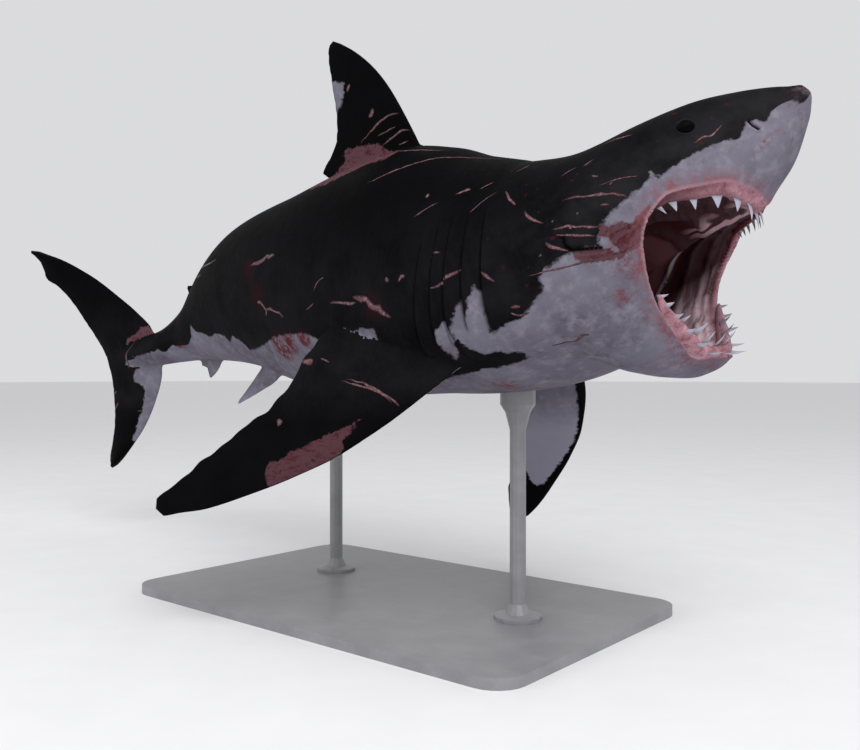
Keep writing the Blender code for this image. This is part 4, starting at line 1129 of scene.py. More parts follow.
def skin_material(look):
    """Wet shark skin: charcoal above, lavender grey below, pink scars, gums and mouth."""
    material, tree, shader = blank("wet_shark_skin")
    here = add(tree, "ShaderNodeAttribute", attribute_name="straight").outputs["Vector"]
    cloud = noise(tree, here, 5.0, 6.0, 0.6)
    blotch = noise(tree, here, 24.0, 5.0, 0.65)
    fray = noise(tree, here, 38.0, 6.0, 0.65)
    streak = noise(tree, here, 1.0, 4.0, 0.6, (60.0, 60.0, 9.0))
    grain = noise(tree, here, 260.0, 2.0, 0.5)      # denticles are under 1 mm; drawn at 4 mm to show
    threads = veins(tree, noise(tree, here, 16.0, 4.0, 0.6), 0.030)
    fine = veins(tree, noise(tree, here, 34.0, 3.0, 0.6), 0.035)
    dark = mixed(tree, ramp(tree, cloud, 0.35, 0.68), linear("#0b0b0c"), tuple(look.back_colour))
    dark = mixed(tree, ramp(tree, streak, 0.50, 0.80, 0.0, 0.35), dark, linear("#1c1c1f"))
    dark = mixed(tree, ramp(tree, grain, 0.62, 0.85, 0.0, 0.30), dark, linear("#28282c"))
    place = add(tree, "ShaderNodeSeparateXYZ", [("Vector", here)])
    # Darker towards the top of the back and over the dorsal fin: painted shade, for a back lit less than the flank.
    dark = mixed(tree, ramp(tree, place.outputs[2], 0.05, 0.40, 0.0, 0.80), dark, linear("#040405"))
    low_fin = maths(tree, "MULTIPLY", ramp(tree, place.outputs[2], -0.28, -0.40), ramp(tree, place.outputs[0], 1.3, 1.4))
    dark = mixed(tree, maths(tree, "MULTIPLY", low_fin, 0.8), dark, linear("#040405"))
    head = ramp(tree, place.outputs[0], 1.10, 0.70)
    # Lighter grey, mottled, low on the sides of the head: painted light on the side of the head that faces the lamps.
    painted_side_light = maths(tree, "MULTIPLY", ramp(tree, cloud, 0.42, 0.62), ramp(tree, place.outputs[2], 0.20, 0.05, 0.0, 0.42))
    dark = mixed(tree, maths(tree, "MULTIPLY", painted_side_light, head), dark, linear("#2b292d"))
    specks = ramp(tree, noise(tree, here, 42.0, 1.0, 0.4), 0.73, 0.77, 0.0, 0.7)
    dark = mixed(tree, maths(tree, "MULTIPLY", specks, head), dark, linear("#4a1417"))
    worn = maths(tree, "MULTIPLY", ramp(tree, place.outputs[0], 0.040, 0.005), ramp(tree, fray, 0.44, 0.60, 0.0, 0.8))
    dark = mixed(tree, worn, dark, linear("#5f5158"))
    pale = mixed(tree, ramp(tree, cloud, 0.35, 0.70), tuple(look.belly_colour), linear("#5d5763"))
    pale = mixed(tree, ramp(tree, blotch, 0.48, 0.72, 0.0, 0.55), pale, linear("#8d8993"))
    dirt = maths(tree, "MULTIPLY", ramp(tree, fray, 0.52, 0.72), ramp(tree, cloud, 0.48, 0.62, 0.0, 0.7))
    pale = mixed(tree, dirt, pale, linear("#4a3f46"))
    # Paler towards the snout tip: painted light on the front of the snout.
    pale = mixed(tree, ramp(tree, place.outputs[0], 0.45, 0.02, 0.0, 0.08), pale, linear("#857e88"))
    # Lighter pale low under the body and on the pectoral fins' undersides: painted light where they lie in shade.
    low = maths(tree, "MULTIPLY", ramp(tree, place.outputs[2], -0.42, -0.62, 0.0, 0.8), ramp(tree, place.outputs[0], 1.0, 1.1))
    pale = mixed(tree, low, pale, linear("#9c9ba9"))
    sore = attribute(tree, "sore")
    dark = mixed(tree, maths(tree, "MULTIPLY", sore, 0.6), dark, linear("#2c1012"))
    red = maths(tree, "MULTIPLY", sore, maths(tree, "ADD", ramp(tree, fray, 0.44, 0.60, 0.0, 0.7), maths(tree, "MULTIPLY", fine, 0.6)))
    pale = mixed(tree, red, pale, linear("#6a2c30"))
    clots = maths(tree, "MULTIPLY", ramp(tree, blotch, 0.47, 0.53), ramp(tree, place.outputs[0], 1.9, 2.0, 0.0, 0.85))
    pale = mixed(tree, maths(tree, "MULTIPLY", clots, ramp(tree, sore, 0.15, 0.5)), pale, linear("#54181a"))
    skin = mixed(tree, ragged(tree, attribute(tree, "pale"), fray, 0.046, 0.005), dark, pale)
    flesh = mixed(tree, ramp(tree, blotch, 0.35, 0.65), tuple(look.scar_colour), linear("#5c4047"))
    grazes = noise(tree, here, 1.0, 4.0, 0.6, (24.0, 24.0, 80.0))
    flesh = mixed(tree, ramp(tree, grazes, 0.52, 0.62, 0.0, 0.75), flesh, linear("#4a1a1d"))
    flesh = mixed(tree, maths(tree, "MULTIPLY", fine, 0.25), flesh, linear("#431b1d"))
    flesh = mixed(tree, ramp(tree, blotch, 0.58, 0.66, 0.0, 0.8), flesh, linear("#241a1c"))
    flesh = mixed(tree, maths(tree, "MULTIPLY", low_fin, 0.4), flesh, linear("#2c1518"))
    skin = mixed(tree, ragged(tree, attribute(tree, "scar"), fray, 0.045, 0.003), skin, flesh)
    lip = ramp(tree, attribute(tree, "rim"), 0.060, 0.0, 0.0, 0.85)
    skin = mixed(tree, maths(tree, "MULTIPLY", lip, ramp(tree, fray, 0.36, 0.60)), skin, linear("#7d4e55"))
    gum = mixed(tree, ramp(tree, cloud, 0.40, 0.66), tuple(look.gum_colour), linear("#7d555d"))
    gum = mixed(tree, ramp(tree, blotch, 0.50, 0.66, 0.0, 0.7), gum, linear("#6a3439"))
    gum = mixed(tree, maths(tree, "MULTIPLY", threads, 0.3), gum, linear("#4a1c20"))
    gum = mixed(tree, maths(tree, "MULTIPLY", fine, 0.15), gum, linear("#5c2a2e"))
    rear_gum = maths(tree, "MULTIPLY", ramp(tree, place.outputs[1], 0.05, -0.05), ramp(tree, place.outputs[2], -0.25, -0.17))
    rear_gum = maths(tree, "MULTIPLY", rear_gum, ramp(tree, place.outputs[0], 0.30, 0.44, 0.0, 0.8))
    gum = mixed(tree, rear_gum, gum, linear("#5a373e"))
    deep = attribute(tree, "deep")
    # From the pale pink cheeks to the dark red throat with depth: partly the throat's own redder flesh, partly painted
    # shade deeper in the mouth.
    lining = mixed(tree, ramp(tree, deep, 0.75, 1.80), tuple(look.cheek_colour), tuple(look.throat_colour))
    ridge = ramp(tree, attribute(tree, "fold"), 0.005, 0.075)
    lit = maths(tree, "MULTIPLY", ridge, ramp(tree, deep, 2.6, 0.4, 0.15, 0.9))
    lining = mixed(tree, lit, lining, linear("#dcc2ca"))
    lining = mixed(tree, maths(tree, "MULTIPLY", threads, 0.22), lining, linear("#3a1215"))
    slant = add(tree, "ShaderNodeMapping", [("Vector", here)],
                [("Rotation", (0.0, math.radians(-45), 0.0)), ("Scale", (1 / 60, 1 / 20, 1 / 5))], vector_type="TEXTURE")
    runs = noise(tree, slant.outputs[0], 1.0, 3.0, 0.55)
    lining = mixed(tree, ramp(tree, runs, 0.49, 0.66, 0.0, 0.65), lining, linear("#3d1a1d"))
    # The roof of the mouth darkened almost to black red: painted shade under the upper jaw.
    roof = maths(tree, "MULTIPLY", ramp(tree, place.outputs[2], -0.30, -0.20), ramp(tree, deep, 0.14, 0.30))
    lining = mixed(tree, maths(tree, "MULTIPLY", roof, 0.96), lining, linear("#240b0e"))
    lining = mixed(tree, ramp(tree, deep, 2.10, 2.25), lining, linear("#472a2d"))
    # A thin pale lavender line along the edge of a fold deep in the throat: painted highlight.
    edge = maths(tree, "MULTIPLY", ramp(tree, deep, 1.97, 2.05), ramp(tree, deep, 2.17, 2.09))
    edge = maths(tree, "MULTIPLY", edge, ramp(tree, place.outputs[1], 0.12, 0.19))
    lining = mixed(tree, edge, lining, linear("#8f838c"))
    wave = add(tree, "ShaderNodeTexWave", [("Vector", here)],
               [("Scale", 4.5), ("Distortion", 13.0), ("Detail", 2.0), ("Detail Scale", 1.3)], bands_direction="Y")
    middle = maths(tree, "MULTIPLY", ramp(tree, place.outputs[1], -0.12, -0.06), ramp(tree, place.outputs[1], 0.15, 0.09))
    swirl = maths(tree, "MULTIPLY", ramp(tree, wave.outputs[1], 0.30, 0.75), maths(tree, "MULTIPLY", roof, middle))
    swirl = maths(tree, "MULTIPLY", swirl, ramp(tree, place.outputs[0], 0.54, 0.46, 0.0, 0.8))
    lining = mixed(tree, swirl, lining, linear("#a6848e"))
    # Darker red on the left side's gum, inside the mouth: painted shade on the gum seen from within.
    inner = maths(tree, "MULTIPLY", ramp(tree, place.outputs[1], 0.02, 0.08), ramp(tree, place.outputs[2], -0.36, -0.28))
    inner = maths(tree, "MULTIPLY", inner, ramp(tree, deep, 0.10, 0.35))
    gum = mixed(tree, inner, gum, linear("#42181c"))
    lining = mixed(tree, ramp(tree, deep, 0.50, 0.28), lining, gum)
    # Pale pink right along the lips: painted highlight on their rounded edge.
    lip_highlight = ramp(tree, attribute(tree, "rim"), 0.014, 0.004, 0.0, 0.7)
    skin = mixed(tree, lip_highlight, skin, linear("#a07a83"))
    mouth = ramp(tree, attribute(tree, "mouth"), 0.35, 0.65)
    colour = mixed(tree, mouth, skin, lining)
    colour = mixed(tree, ramp(tree, attribute(tree, "gum"), 0.3, 0.7), colour, gum)
    # Near black in the gill slits, the nostrils and the flap at the mouth corner: painted shade in the creases.
    colour = mixed(tree, ramp(tree, attribute(tree, "crease_shade"), 0.25, 0.9), colour, linear("#080708"))
    colour = mixed(tree, ramp(tree, attribute(tree, "lid"), 0.3, 0.9, 0.0, 0.8), colour, linear("#1b1b1e"))
    tree.links.new(colour, shader.inputs["Base Color"])
    rough = maths(tree, "SUBTRACT", ramp(tree, blotch, 0.2, 0.8, 0.54, 0.68), maths(tree, "MULTIPLY", mouth, 0.10))
    tree.links.new(rough, shader.inputs["Roughness"])
    shader.inputs["IOR"].default_value = 1.40
    shader.inputs["Specular IOR Level"].default_value = 0.02
    height = maths(tree, "ADD", maths(tree, "MULTIPLY", grain, 0.25), maths(tree, "MULTIPLY", streak, 0.8))
    relief = add(tree, "ShaderNodeBump", [("Height", height)], [("Strength", 0.35), ("Distance", 0.004)])
    tree.links.new(relief.outputs[0], shader.inputs["Normal"])
    return material


def scar_material(look):
    """Healed scar tissue: smooth dull pink skin with red threads, fading into the charcoal skin."""
    material, tree, shader = blank("healed_scar_tissue")
    here = add(tree, "ShaderNodeTexCoord").outputs["Object"]
    threads = noise(tree, here, 90.0, 4.0, 0.6)
    core = maths(tree, "ADD", attribute(tree, "fade"), maths(tree, "MULTIPLY", threads, 0.9))
    colour = mixed(tree, ramp(tree, threads, 0.48, 0.70), tuple(look.scar_colour), linear("#86646c"))
    colour = mixed(tree, ramp(tree, core, 0.85, 1.25), linear("#4a1f22"), colour)
    colour = mixed(tree, ramp(tree, core, 0.62, 0.95), linear("#131214"), colour)
    tree.links.new(colour, shader.inputs["Base Color"])
    tree.links.new(ramp(tree, threads, 0.3, 0.7, 0.42, 0.58), shader.inputs["Roughness"])
    shader.inputs["IOR"].default_value = 1.40
    shader.inputs["Specular IOR Level"].default_value = 0.22
    return material


def tooth_material(look):
    """Tooth enamel: ivory white at the tip, greyer and stained towards the gum."""
    material, tree, shader = blank("tooth_enamel")
    here = add(tree, "ShaderNodeTexCoord").outputs["Object"]
    stain = noise(tree, here, 90.0, 5.0, 0.6)
    foot = attribute(tree, "foot")
    colour = mixed(tree, ramp(tree, stain, 0.40, 0.75, 0.0, 0.6), tuple(look.tooth_colour), linear("#85858f"))
    colour = mixed(tree, ramp(tree, foot, 0.55, 1.0, 0.0, 0.7), colour, linear("#6c5b62"))
    tree.links.new(colour, shader.inputs["Base Color"])
    tree.links.new(ramp(tree, stain, 0.3, 0.8, 0.18, 0.34), shader.inputs["Roughness"])
    shader.inputs["IOR"].default_value = 1.62
    return material


def eye_material(look):
    """Wet black eye: almost no iris shows, only a deep blue-brown ring under the cornea."""
    material, tree, shader = blank("wet_black_eye")
    here = add(tree, "ShaderNodeTexCoord").outputs["Object"]
    depth = noise(tree, here, 60.0, 3.0, 0.5)
    tree.links.new(mixed(tree, ramp(tree, depth, 0.4, 0.7), tuple(look.eye_colour), linear("#0a0910")),
                   shader.inputs["Base Color"])
    tree.links.new(ramp(tree, depth, 0.3, 0.7, 0.36, 0.44), shader.inputs["Roughness"])
    shader.inputs["Specular IOR Level"].default_value = 0.03
    shader.inputs["IOR"].default_value = 1.376
    return material


def tongue_material(look):
    """Wet tongue: greyish pink with a pebbled top."""
    material, tree, shader = blank("wet_tongue")
    here = add(tree, "ShaderNodeTexCoord").outputs["Object"]
    pebbles = noise(tree, here, 140.0, 3.0, 0.5)
    patches = noise(tree, here, 18.0, 4.0, 0.6)
    tree.links.new(mixed(tree, ramp(tree, patches, 0.35, 0.70), tuple(look.tongue_colour), linear("#53363b")),
                   shader.inputs["Base Color"])
    shader.inputs["Roughness"].default_value = 0.32
    shader.inputs["IOR"].default_value = 1.40
    relief = add(tree, "ShaderNodeBump", [("Height", pebbles)], [("Strength", 0.4), ("Distance", 0.003)])
    tree.links.new(relief.outputs[0], shader.inputs["Normal"])
    return material


def stand_material(look):
    """Satin powder coat on steel: fine orange peel and a little dust."""
    material, tree, shader = blank("powder_coated_steel")
    here = add(tree, "ShaderNodeTexCoord").outputs["Object"]
    peel = noise(tree, here, 350.0, 2.0, 0.5)       # orange peel is about 1 mm; drawn at 3 mm to show
    dust = noise(tree, here, 7.0, 6.0, 0.6)
    tree.links.new(mixed(tree, ramp(tree, dust, 0.40, 0.75), tuple(look.stand_colour), linear("#8f8f92")),
                   shader.inputs["Base Color"])
    tree.links.new(ramp(tree, dust, 0.3, 0.8, 0.38, 0.52), shader.inputs["Roughness"])
    shader.inputs["IOR"].default_value = 1.50
    relief = add(tree, "ShaderNodeBump", [("Height", peel)], [("Strength", 0.15), ("Distance", 0.001)])
    tree.links.new(relief.outputs[0], shader.inputs["Normal"])
    return material


def floor_material(look):
    """Matt studio floor paint."""
    material, tree, shader = blank("matt_studio_floor")
    here = add(tree, "ShaderNodeTexCoord").outputs["Object"]
    scuff = noise(tree, here, 3.0, 5.0, 0.6)
    tree.links.new(mixed(tree, ramp(tree, scuff, 0.35, 0.75, 0.0, 0.4), tuple(look.floor_colour), linear("#f0f0f1")),
                   shader.inputs["Base Color"])
    shader.inputs["Roughness"].default_value = 0.85
    return material


# ---------------------------------------------------------------- teeth, eyes, tongue
def tooth_sheet(foot, tangent, out, lean_way, width, height, thick, seed):
    """Flat serrated blade of enamel, hollowed a little on its inner face."""
    rows = 26
    point = unit(out + lean_way)
    across = unit(tangent - point * (tangent @ point))
    face = np.cross(across, point)

    def place(u, v):
        angle = u * 2 * math.pi
        saw = 0.0009 * (np.round(v * rows).astype(int) % 2) * step(0.02, 0.2, v) * step(1.0, 0.8, v)
        half = width / 2 * 1.22 * (1 - v) ** 0.95 * (1 - 0.08 * np.sin(math.pi * v))
        half = half + saw * (width / 0.038)
        deep = thick / 2 * (1 - v) ** 0.8
        x = np.sign(np.cos(angle)) * np.abs(np.cos(angle)) ** 0.9 * half
        w = np.sin(angle) * deep * (1 - 0.6 * np.abs(np.cos(angle)) ** 2)
        bend = 0.05 * height * np.sin(math.pi * v) + 0.0006 * math.sin(seed)
        return foot + np.outer(x, across) + np.outer(v * height, point) + np.outer(w + bend, face)

    bm = sheet(20, rows, place)
    return bm, rows


def jaw_teeth(upper):
    """Settings of each tooth of a jaw: foot, directions and sizes."""
    path = gum_path(upper)
    settings = []
    for share, width, height, inwards, splay in (UPPER_TEETH if upper else LOWER_TEETH):
        centre, tangent, out, side, gum = [row[0] for row in along(path, [share])]
        buried = 0.016
        foot = centre + side * inwards / 1000 + out * ((UPPER_GUM_HEIGHT if upper else LOWER_GUM_HEIGHT) * gum - buried)
        wide = width / 1000
        settings.append((foot, tangent, out, -side * splay, wide, height / 1000 + buried, 0.26 * wide))
    return settings


def make_teeth(look):
    """All the teeth as separate blades in one piece."""
    parts = []
    for upper in (True, False):
        for number, setting in enumerate(jaw_teeth(upper)):
            parts.append(tooth_sheet(*setting, number)[0])
    counts = [len(part.verts) for part in parts]
    whole = joined(parts)
    points = spots_of(whole)
    teeth = as_object("shark_teeth", whole)
    foot = []
    start = 0
    for count, setting in zip(counts, jaw_teeth(True) + jaw_teeth(False)):
        rise = (points[start:start + count] - setting[0]) @ unit(setting[2] + setting[3]) / setting[5]
        foot.extend(1 - rise)
        start += count
    bm = bmesh.new()
    bm.from_mesh(teeth.data)
    place_all(bm, pose(points))
    bmesh.ops.recalc_face_normals(bm, faces=bm.faces)
    bm.to_mesh(teeth.data)
    bm.free()
    give(teeth, "foot", np.array(foot))
    settle(teeth, tooth_material(look), ("upper_teeth", "lower_teeth"))


def make_eyes(look):
    """Two glossy black eyeballs."""
    material = eye_material(look)
    for side, name in ((1, "eye_left"), (-1, "eye_right")):
        bm = bmesh.new()
        bmesh.ops.create_uvsphere(bm, u_segments=64, v_segments=40, radius=EYE_RADIUS)
        bmesh.ops.translate(bm, verts=bm.verts, vec=tuple(np.array(EYE_AT) * [1, side, 1]))
        place_all(bm, pose(spots_of(bm)))
        bmesh.ops.recalc_face_normals(bm, faces=bm.faces)
        settle(as_object("shark_" + name, bm), material, (name,))


def make_tongue(look):
    """Short thick tongue on the floor of the mouth."""
    tip, root = np.array(TONGUE_TIP), np.array(TONGUE_ROOT)

    def place(u, v):
        angle = u * 2 * math.pi
        swell = np.sqrt(np.clip(1 - (2 * v - 1) ** 2, 0, 1))
        y = TONGUE_HALF_WIDTH * swell * np.cos(angle)
        z = TONGUE_HALF_HEIGHT * swell * np.sin(angle)
        groove = -0.006 * bump(y, 0.018) * (np.sin(angle) > 0) * swell
        middle = tip * (1 - v)[:, None] + root * v[:, None]
        points = middle + np.stack([np.zeros(len(y)), y, z + groove], axis=1)
        return points + np.outer(0.0022 * ripple(points, 0.03, 41) * swell, [0, 0, 1])

    bm = sheet(48, 40, place)
    place_all(bm, pose(spots_of(bm)))
    bmesh.ops.recalc_face_normals(bm, faces=bm.faces)
    settle(as_object("shark_tongue", bm), tongue_material(look), ("tongue",))


# ---------------------------------------------------------------- scars
def flank_ray(a, g):
    """Start and direction of a look at the right flank at (a, g)."""
    angle = math.pi - g * math.pi / 2
    y, z = math.cos(angle), math.sin(angle)
    at = np.array([a])
    tall = smooth(at, BODY_LINES, 1 if z > 0 else 2)[0]
    side = smooth(at, BODY_LINES, 3)[0]
    far = np.array([a, 1.6 * side * y, 1.6 * tall * z])
    return far, np.array([0.0, -side * y, -tall * z])


def upright_ray(a, z):
    """Start and direction of a look at a midline fin from the right."""
    return np.array([a, -0.6, z]), np.array([0.0, 1.0, 0.0])


def pectoral_ray(r, c):
    """Start and direction of a look at the right pectoral fin's upper face."""
    out, chord, normal = fin_axes(-1, *PECTORAL_RIGHT)
    base = np.array([PECTORAL_ROOT[0], -PECTORAL_ROOT[1], PECTORAL_ROOT[2]])
    up = normal if normal[2] > 0 else -normal
    return base + out * r + chord * c + up * 0.3, -up


def scar_strip(tree, ray, line, width, seed):
    """Thin raised scar laid on the skin along a line, ragged and pointed at its ends."""
    line = np.array(line)
    length = np.linalg.norm(np.diff(line * [1, FLANK_SPAN if ray is flank_ray else 1], axis=0), axis=1).sum()
    count = max(6, int(length / 0.008))
    knots = through(line, np.linspace(0, len(line) - 1, count + 1)) if len(line) > 2 else (
        line[0] + np.outer(np.linspace(0, 1, count + 1), line[1] - line[0]))
    middles = []
    normals = []
    for one, two in knots:
        start, way = ray(one, two)
        place, normal, _, _ = tree.ray_cast(Vector(start), Vector(way).normalized())
        if place is not None:
            middles.append(place)
            normals.append(normal)
    if len(middles) < 4:
        raise RuntimeError(f"the scar from {line[0]} misses the skin")
    middles, normals = np.array(middles), np.array(normals)
    count = len(middles) - 1
    ways = np.gradient(middles, axis=0)
    sides = np.cross(normals, ways)
    sides /= np.linalg.norm(sides, axis=1, keepdims=True)
    rng = np.random.default_rng(seed)
    wander = np.interp(np.arange(count + 1), np.arange(0, count + 4, 3), rng.uniform(0.55, 1.15, len(range(0, count + 4, 3))))
    drift = np.interp(np.arange(count + 1), np.arange(0, count + 4, 3), rng.uniform(-0.25, 0.25, len(range(0, count + 4, 3))))

    def place(u, v):
        k = np.round(v * count).astype(int)
        half = width / 2 * np.sin(math.pi * (0.02 + 0.96 * v)) ** 0.55 * wander[k]
        shift = (2 * u - 1) * half + drift[k] * width
        points = middles[k] + sides[k] * shift[:, None]
        settled = []
        for spot, edge in zip(points, np.abs(2 * u - 1)):
            near, normal, _, _ = tree.find_nearest(Vector(spot))
            settled.append(np.array(near) + np.array(normal) * (0.0004 + 0.0009 * (1 - edge ** 2)))
        return np.array(settled)

    bm = bmesh.new()
    bmesh.ops.create_grid(bm, x_segments=4, y_segments=count, size=1.0)
    spots = spots_of(bm)
    place_all(bm, place((spots[:, 0] + 1) / 2, (spots[:, 1] + 1) / 2))
    fade = bm.verts.layers.float.new("fade")
    across, along_it = (spots[:, 0] + 1) / 2, (spots[:, 1] + 1) / 2
    for vert, value in zip(bm.verts, (1 - (2 * across - 1) ** 2) * np.sin(math.pi * along_it) ** 0.5):
        vert[fade] = value
    return bm


def make_scars(tree, look):
    """All the thin scars in one piece."""
    parts = []
    for ray, table in ((flank_ray, BODY_SCARS), (upright_ray, DORSAL_SCARS), (upright_ray, CAUDAL_SCARS),
                       (pectoral_ray, PECTORAL_SCARS)):
        for number, (width, *line) in enumerate(table):
            parts.append(scar_strip(tree, ray, line, width / 1050, number))
    bm = joined(parts)
    bm.normal_update()
    place_all(bm, pose(spots_of(bm)))
    scars = as_object("shark_scars", bm)
    settle(scars, scar_material(look))


# ---------------------------------------------------------------- settings
class SharkSkinSettings(bpy.types.PropertyGroup):
    """Colours of the skin and the scars."""
    back_colour: bpy.props.FloatVectorProperty(
        name="Back", description="Charcoal of the back", subtype="COLOR", size=3, default=linear("#161618"))
    belly_colour: bpy.props.FloatVectorProperty(
        name="Belly", description="Lavender grey of the belly", subtype="COLOR", size=3, default=linear("#716f7c"))
    scar_colour: bpy.props.FloatVectorProperty(
        name="Scars", description="Pink of healed skin", subtype="COLOR", size=3, default=linear("#543a40"))
    cheek_colour: bpy.props.FloatVectorProperty(
        name="Cheek", description="Pale pink inside the lips", subtype="COLOR", size=3, default=linear("#c9abb5"))
    # Partly painted shade: this dark red stands for the depth of the throat.
    throat_colour: bpy.props.FloatVectorProperty(
        name="Throat", description="Dark red of the throat", subtype="COLOR", size=3, default=linear("#36191b"))
    gum_colour: bpy.props.FloatVectorProperty(
        name="Gums", description="Pink of the gums", subtype="COLOR", size=3, default=linear("#b18792"))


class SharkMouthSettings(bpy.types.PropertyGroup):
    """Colours of the teeth, eyes and tongue."""
    tooth_colour: bpy.props.FloatVectorProperty(
        name="Teeth", description="White of the enamel", subtype="COLOR", size=3, default=linear("#a3a3b2"))
    eye_colour: bpy.props.FloatVectorProperty(
        name="Eyes", description="Black of the eyes", subtype="COLOR", size=3, default=linear("#030303"))
    tongue_colour: bpy.props.FloatVectorProperty(
        name="Tongue", description="Greyish pink of the tongue", subtype="COLOR", size=3, default=linear("#70555c"))


class SharkStageSettings(bpy.types.PropertyGroup):
    """Colours of the stand and the studio, and the lamps' power."""
    stand_colour: bpy.props.FloatVectorProperty(
        name="Stand", description="Paint of the stand", subtype="COLOR", size=3, default=linear("#7d7d80"))
    floor_colour: bpy.props.FloatVectorProperty(
        name="Floor", description="Paint of the floor", subtype="COLOR", size=3, default=linear("#e6e6e8"))
    floor_size: bpy.props.FloatProperty(
        name="Floor size", description="Side of the floor", default=240.0, min=8.0, unit="LENGTH")
    key_power: bpy.props.FloatProperty(
        name="Key lamp", description="Power of the main soft lamp", default=640.0, min=0.0, unit="POWER")
    fill_power: bpy.props.FloatProperty(
        name="Fill lamp", description="Power of the second soft lamp", default=160.0, min=0.0, unit="POWER")


SKIN_TREE = {}


# ---------------------------------------------------------------- operators
class SHARK_OT_skin(bpy.types.Operator):
    """Builds the whole skin with its fins, mouth lining and gums."""
    bl_idname = "shark.skin"
    bl_label = "Skin"

    def execute(self, context):
        skin, bm = make_skin_mesh()
        bm.normal_update()
        points = spots_of(bm)
        normals = np.array([vert.normal[:] for vert in bm.verts])
        shares = zone_shares(bm)
        body = shares[:, ZONES["skin"]]
        gills, slit = gill_relief(points)
        eyes, lid = eye_relief(points, normals)
        head, crease_shade, torn = head_relief(points)
        moved = points + normals * ((gills + eyes + head) * body)[:, None]
        chin = np.linalg.norm((points - [CHIN[0], 0, CHIN[1]]) * [1, 0.35, 1], axis=1)
        moved += np.outer(step(0.06, 0.0, chin) * body, CHIN_TUCK)
        moved[:, 0] -= SNOUT_BULGE * bump(points[:, 2] - 0.012, 0.030) * step(0.09, 0.0, points[:, 0])
        place_all(bm, moved)
        bm.normal_update()
        SKIN_TREE["straight"] = BVHTree.FromBMesh(bm)
        place_all(bm, pose(moved))
        bmesh.ops.triangulate(bm, faces=bm.faces)
        bmesh.ops.recalc_face_normals(bm, faces=bm.faces)
        bm.to_mesh(skin.data)
        bm.free()
        # The slits and creases carry painted shade.
        mark_skin(skin, points, shares, (slit + crease_shade) * body, lid, torn)
        look = context.scene.shark_skin
        settle(skin, skin_material(look), FLESH_NODES)
        print("skin triangles", len(skin.data.polygons))
        return {"FINISHED"}


class SHARK_OT_scars(bpy.types.Operator):
    """Lays the thin scars on the skin."""
    bl_idname = "shark.scars"
    bl_label = "Scars"

    def execute(self, context):
        make_scars(SKIN_TREE["straight"], context.scene.shark_skin)
        return {"FINISHED"}


class SHARK_OT_teeth(bpy.types.Operator):
    """Sets the teeth in the gums."""
    bl_idname = "shark.teeth"
    bl_label = "Teeth"

    def execute(self, context):
        make_teeth(context.scene.shark_mouth)
        return {"FINISHED"}


class SHARK_OT_eyes(bpy.types.Operator):
    """Sets the eyes in the head."""
    bl_idname = "shark.eyes"
    bl_label = "Eyes"

    def execute(self, context):
        make_eyes(context.scene.shark_mouth)
        return {"FINISHED"}


class SHARK_OT_tongue(bpy.types.Operator):
    """Lays the tongue in the mouth."""
    bl_idname = "shark.tongue"
    bl_label = "Tongue"

    def execute(self, context):
        make_tongue(context.scene.shark_mouth)
        return {"FINISHED"}


class SHARK_OT_stand(bpy.types.Operator):
    """Paints the stand."""
    bl_idname = "shark.stand"
    bl_label = "Stand"

    def execute(self, context):
        material = stand_material(context.scene.shark_stage)
        for name in ("stand_base", "stand_rod_front", "stand_rod_rear"):
            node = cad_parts[name]
            node.data.materials.clear()
            node.data.materials.append(material)
        return {"FINISHED"}


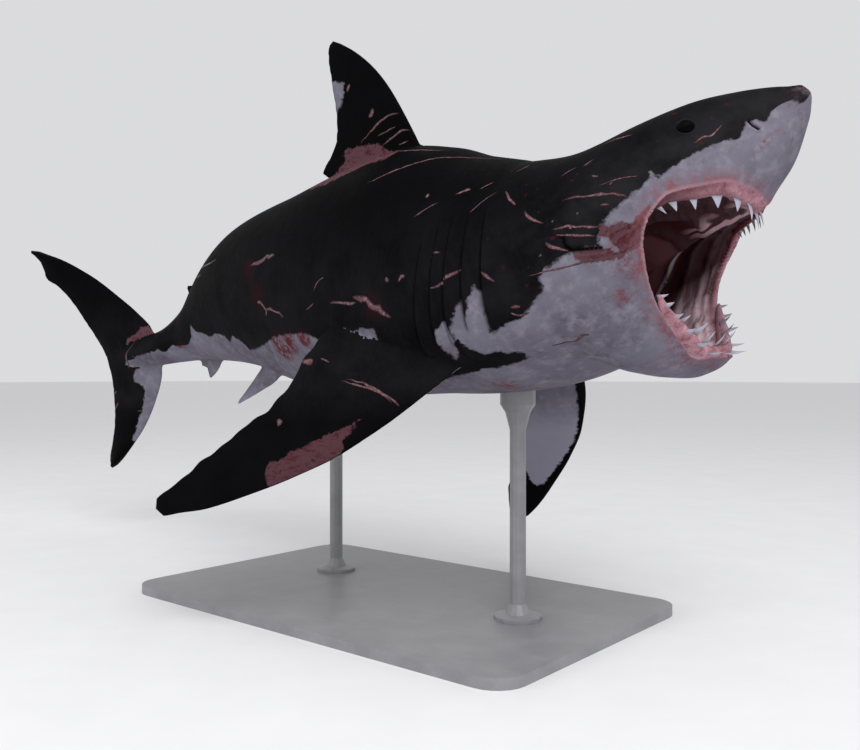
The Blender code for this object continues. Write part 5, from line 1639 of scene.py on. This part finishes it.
class SHARK_OT_stage(bpy.types.Operator):
    """Lays the floor and sets the lamps and the camera."""
    bl_idname = "shark.stage"
    bl_label = "Stage"

    def execute(self, context):
        look = context.scene.shark_stage
        bm = bmesh.new()
        bmesh.ops.create_grid(bm, x_segments=8, y_segments=8, size=look.floor_size / 2)
        floor = as_object("studio_floor", bm)
        floor.data.materials.append(floor_material(look))
        world = bpy.data.worlds.new("studio")
        world.use_nodes = True
        world.node_tree.nodes["Background"].inputs["Color"].default_value = (*linear("#f2f2f4"), 1.0)
        world.node_tree.nodes["Background"].inputs["Strength"].default_value = 0.80
        context.scene.world = world
        for name, place, size, power in (
            ("key_lamp", (6.5, -4.5, 7.5), 6.0, look.key_power),
            ("fill_lamp", (-4.5, -7.5, 4.0), 6.0, look.fill_power),
        ):
            lamp = bpy.data.lights.new(name, "AREA")
            lamp.size = size
            lamp.energy = power
            holder = bpy.data.objects.new(name, lamp)
            holder.location = place
            holder.rotation_euler = (Vector((0.4, 0, 1.2)) - Vector(place)).to_track_quat("-Z", "Y").to_euler()
            context.scene.collection.objects.link(holder)
        camera = bpy.data.cameras.new("camera")
        camera.sensor_width = 36.0
        camera.lens = 37.436
        camera.clip_end = 200.0
        holder = bpy.data.objects.new("camera", camera)
        holder.location = (3.2826, -2.8993, 1.0008)
        holder.rotation_euler = (math.radians(90), 0.0, math.radians(40))
        context.scene.collection.objects.link(holder)
        context.scene.camera = holder
        context.scene.view_settings.view_transform = "Standard"
        return {"FINISHED"}


class SHARK_PT_panel(bpy.types.Panel):
    """Lists the steps and the settings."""
    bl_idname = "SHARK_PT_panel"
    bl_label = "Great white shark"
    bl_space_type = "VIEW_3D"
    bl_region_type = "UI"
    bl_category = "Shark"

    def draw(self, context):
        for step_class in STEPS:
            self.layout.operator(step_class.bl_idname)
        for name in ("shark_skin", "shark_mouth", "shark_stage"):
            group = getattr(context.scene, name)
            for prop in group.bl_rna.properties:
                if prop.identifier not in ("rna_type", "name"):
                    self.layout.prop(group, prop.identifier)


GROUPS = (("shark_skin", SharkSkinSettings), ("shark_mouth", SharkMouthSettings), ("shark_stage", SharkStageSettings))
STEPS = (SHARK_OT_skin, SHARK_OT_scars, SHARK_OT_teeth, SHARK_OT_eyes, SHARK_OT_tongue, SHARK_OT_stand, SHARK_OT_stage)


def register():
    """Registers the settings, the operators and the panel."""
    for name, group in GROUPS:
        bpy.utils.register_class(group)
        setattr(bpy.types.Scene, name, bpy.props.PointerProperty(type=group))
    for one in STEPS + (SHARK_PT_panel,):
        bpy.utils.register_class(one)


def unregister():
    """Takes them away again."""
    for one in reversed(STEPS + (SHARK_PT_panel,)):
        bpy.utils.unregister_class(one)
    for name, group in reversed(GROUPS):
        delattr(bpy.types.Scene, name)
        bpy.utils.unregister_class(group)


def main():
    """Builds every piece."""
    register()
    bpy.ops.shark.skin()
    bpy.ops.shark.scars()
    bpy.ops.shark.teeth()
    bpy.ops.shark.eyes()
    bpy.ops.shark.tongue()
    bpy.ops.shark.stand()
    bpy.ops.shark.stage()


if __name__ == "__main__":
    main()
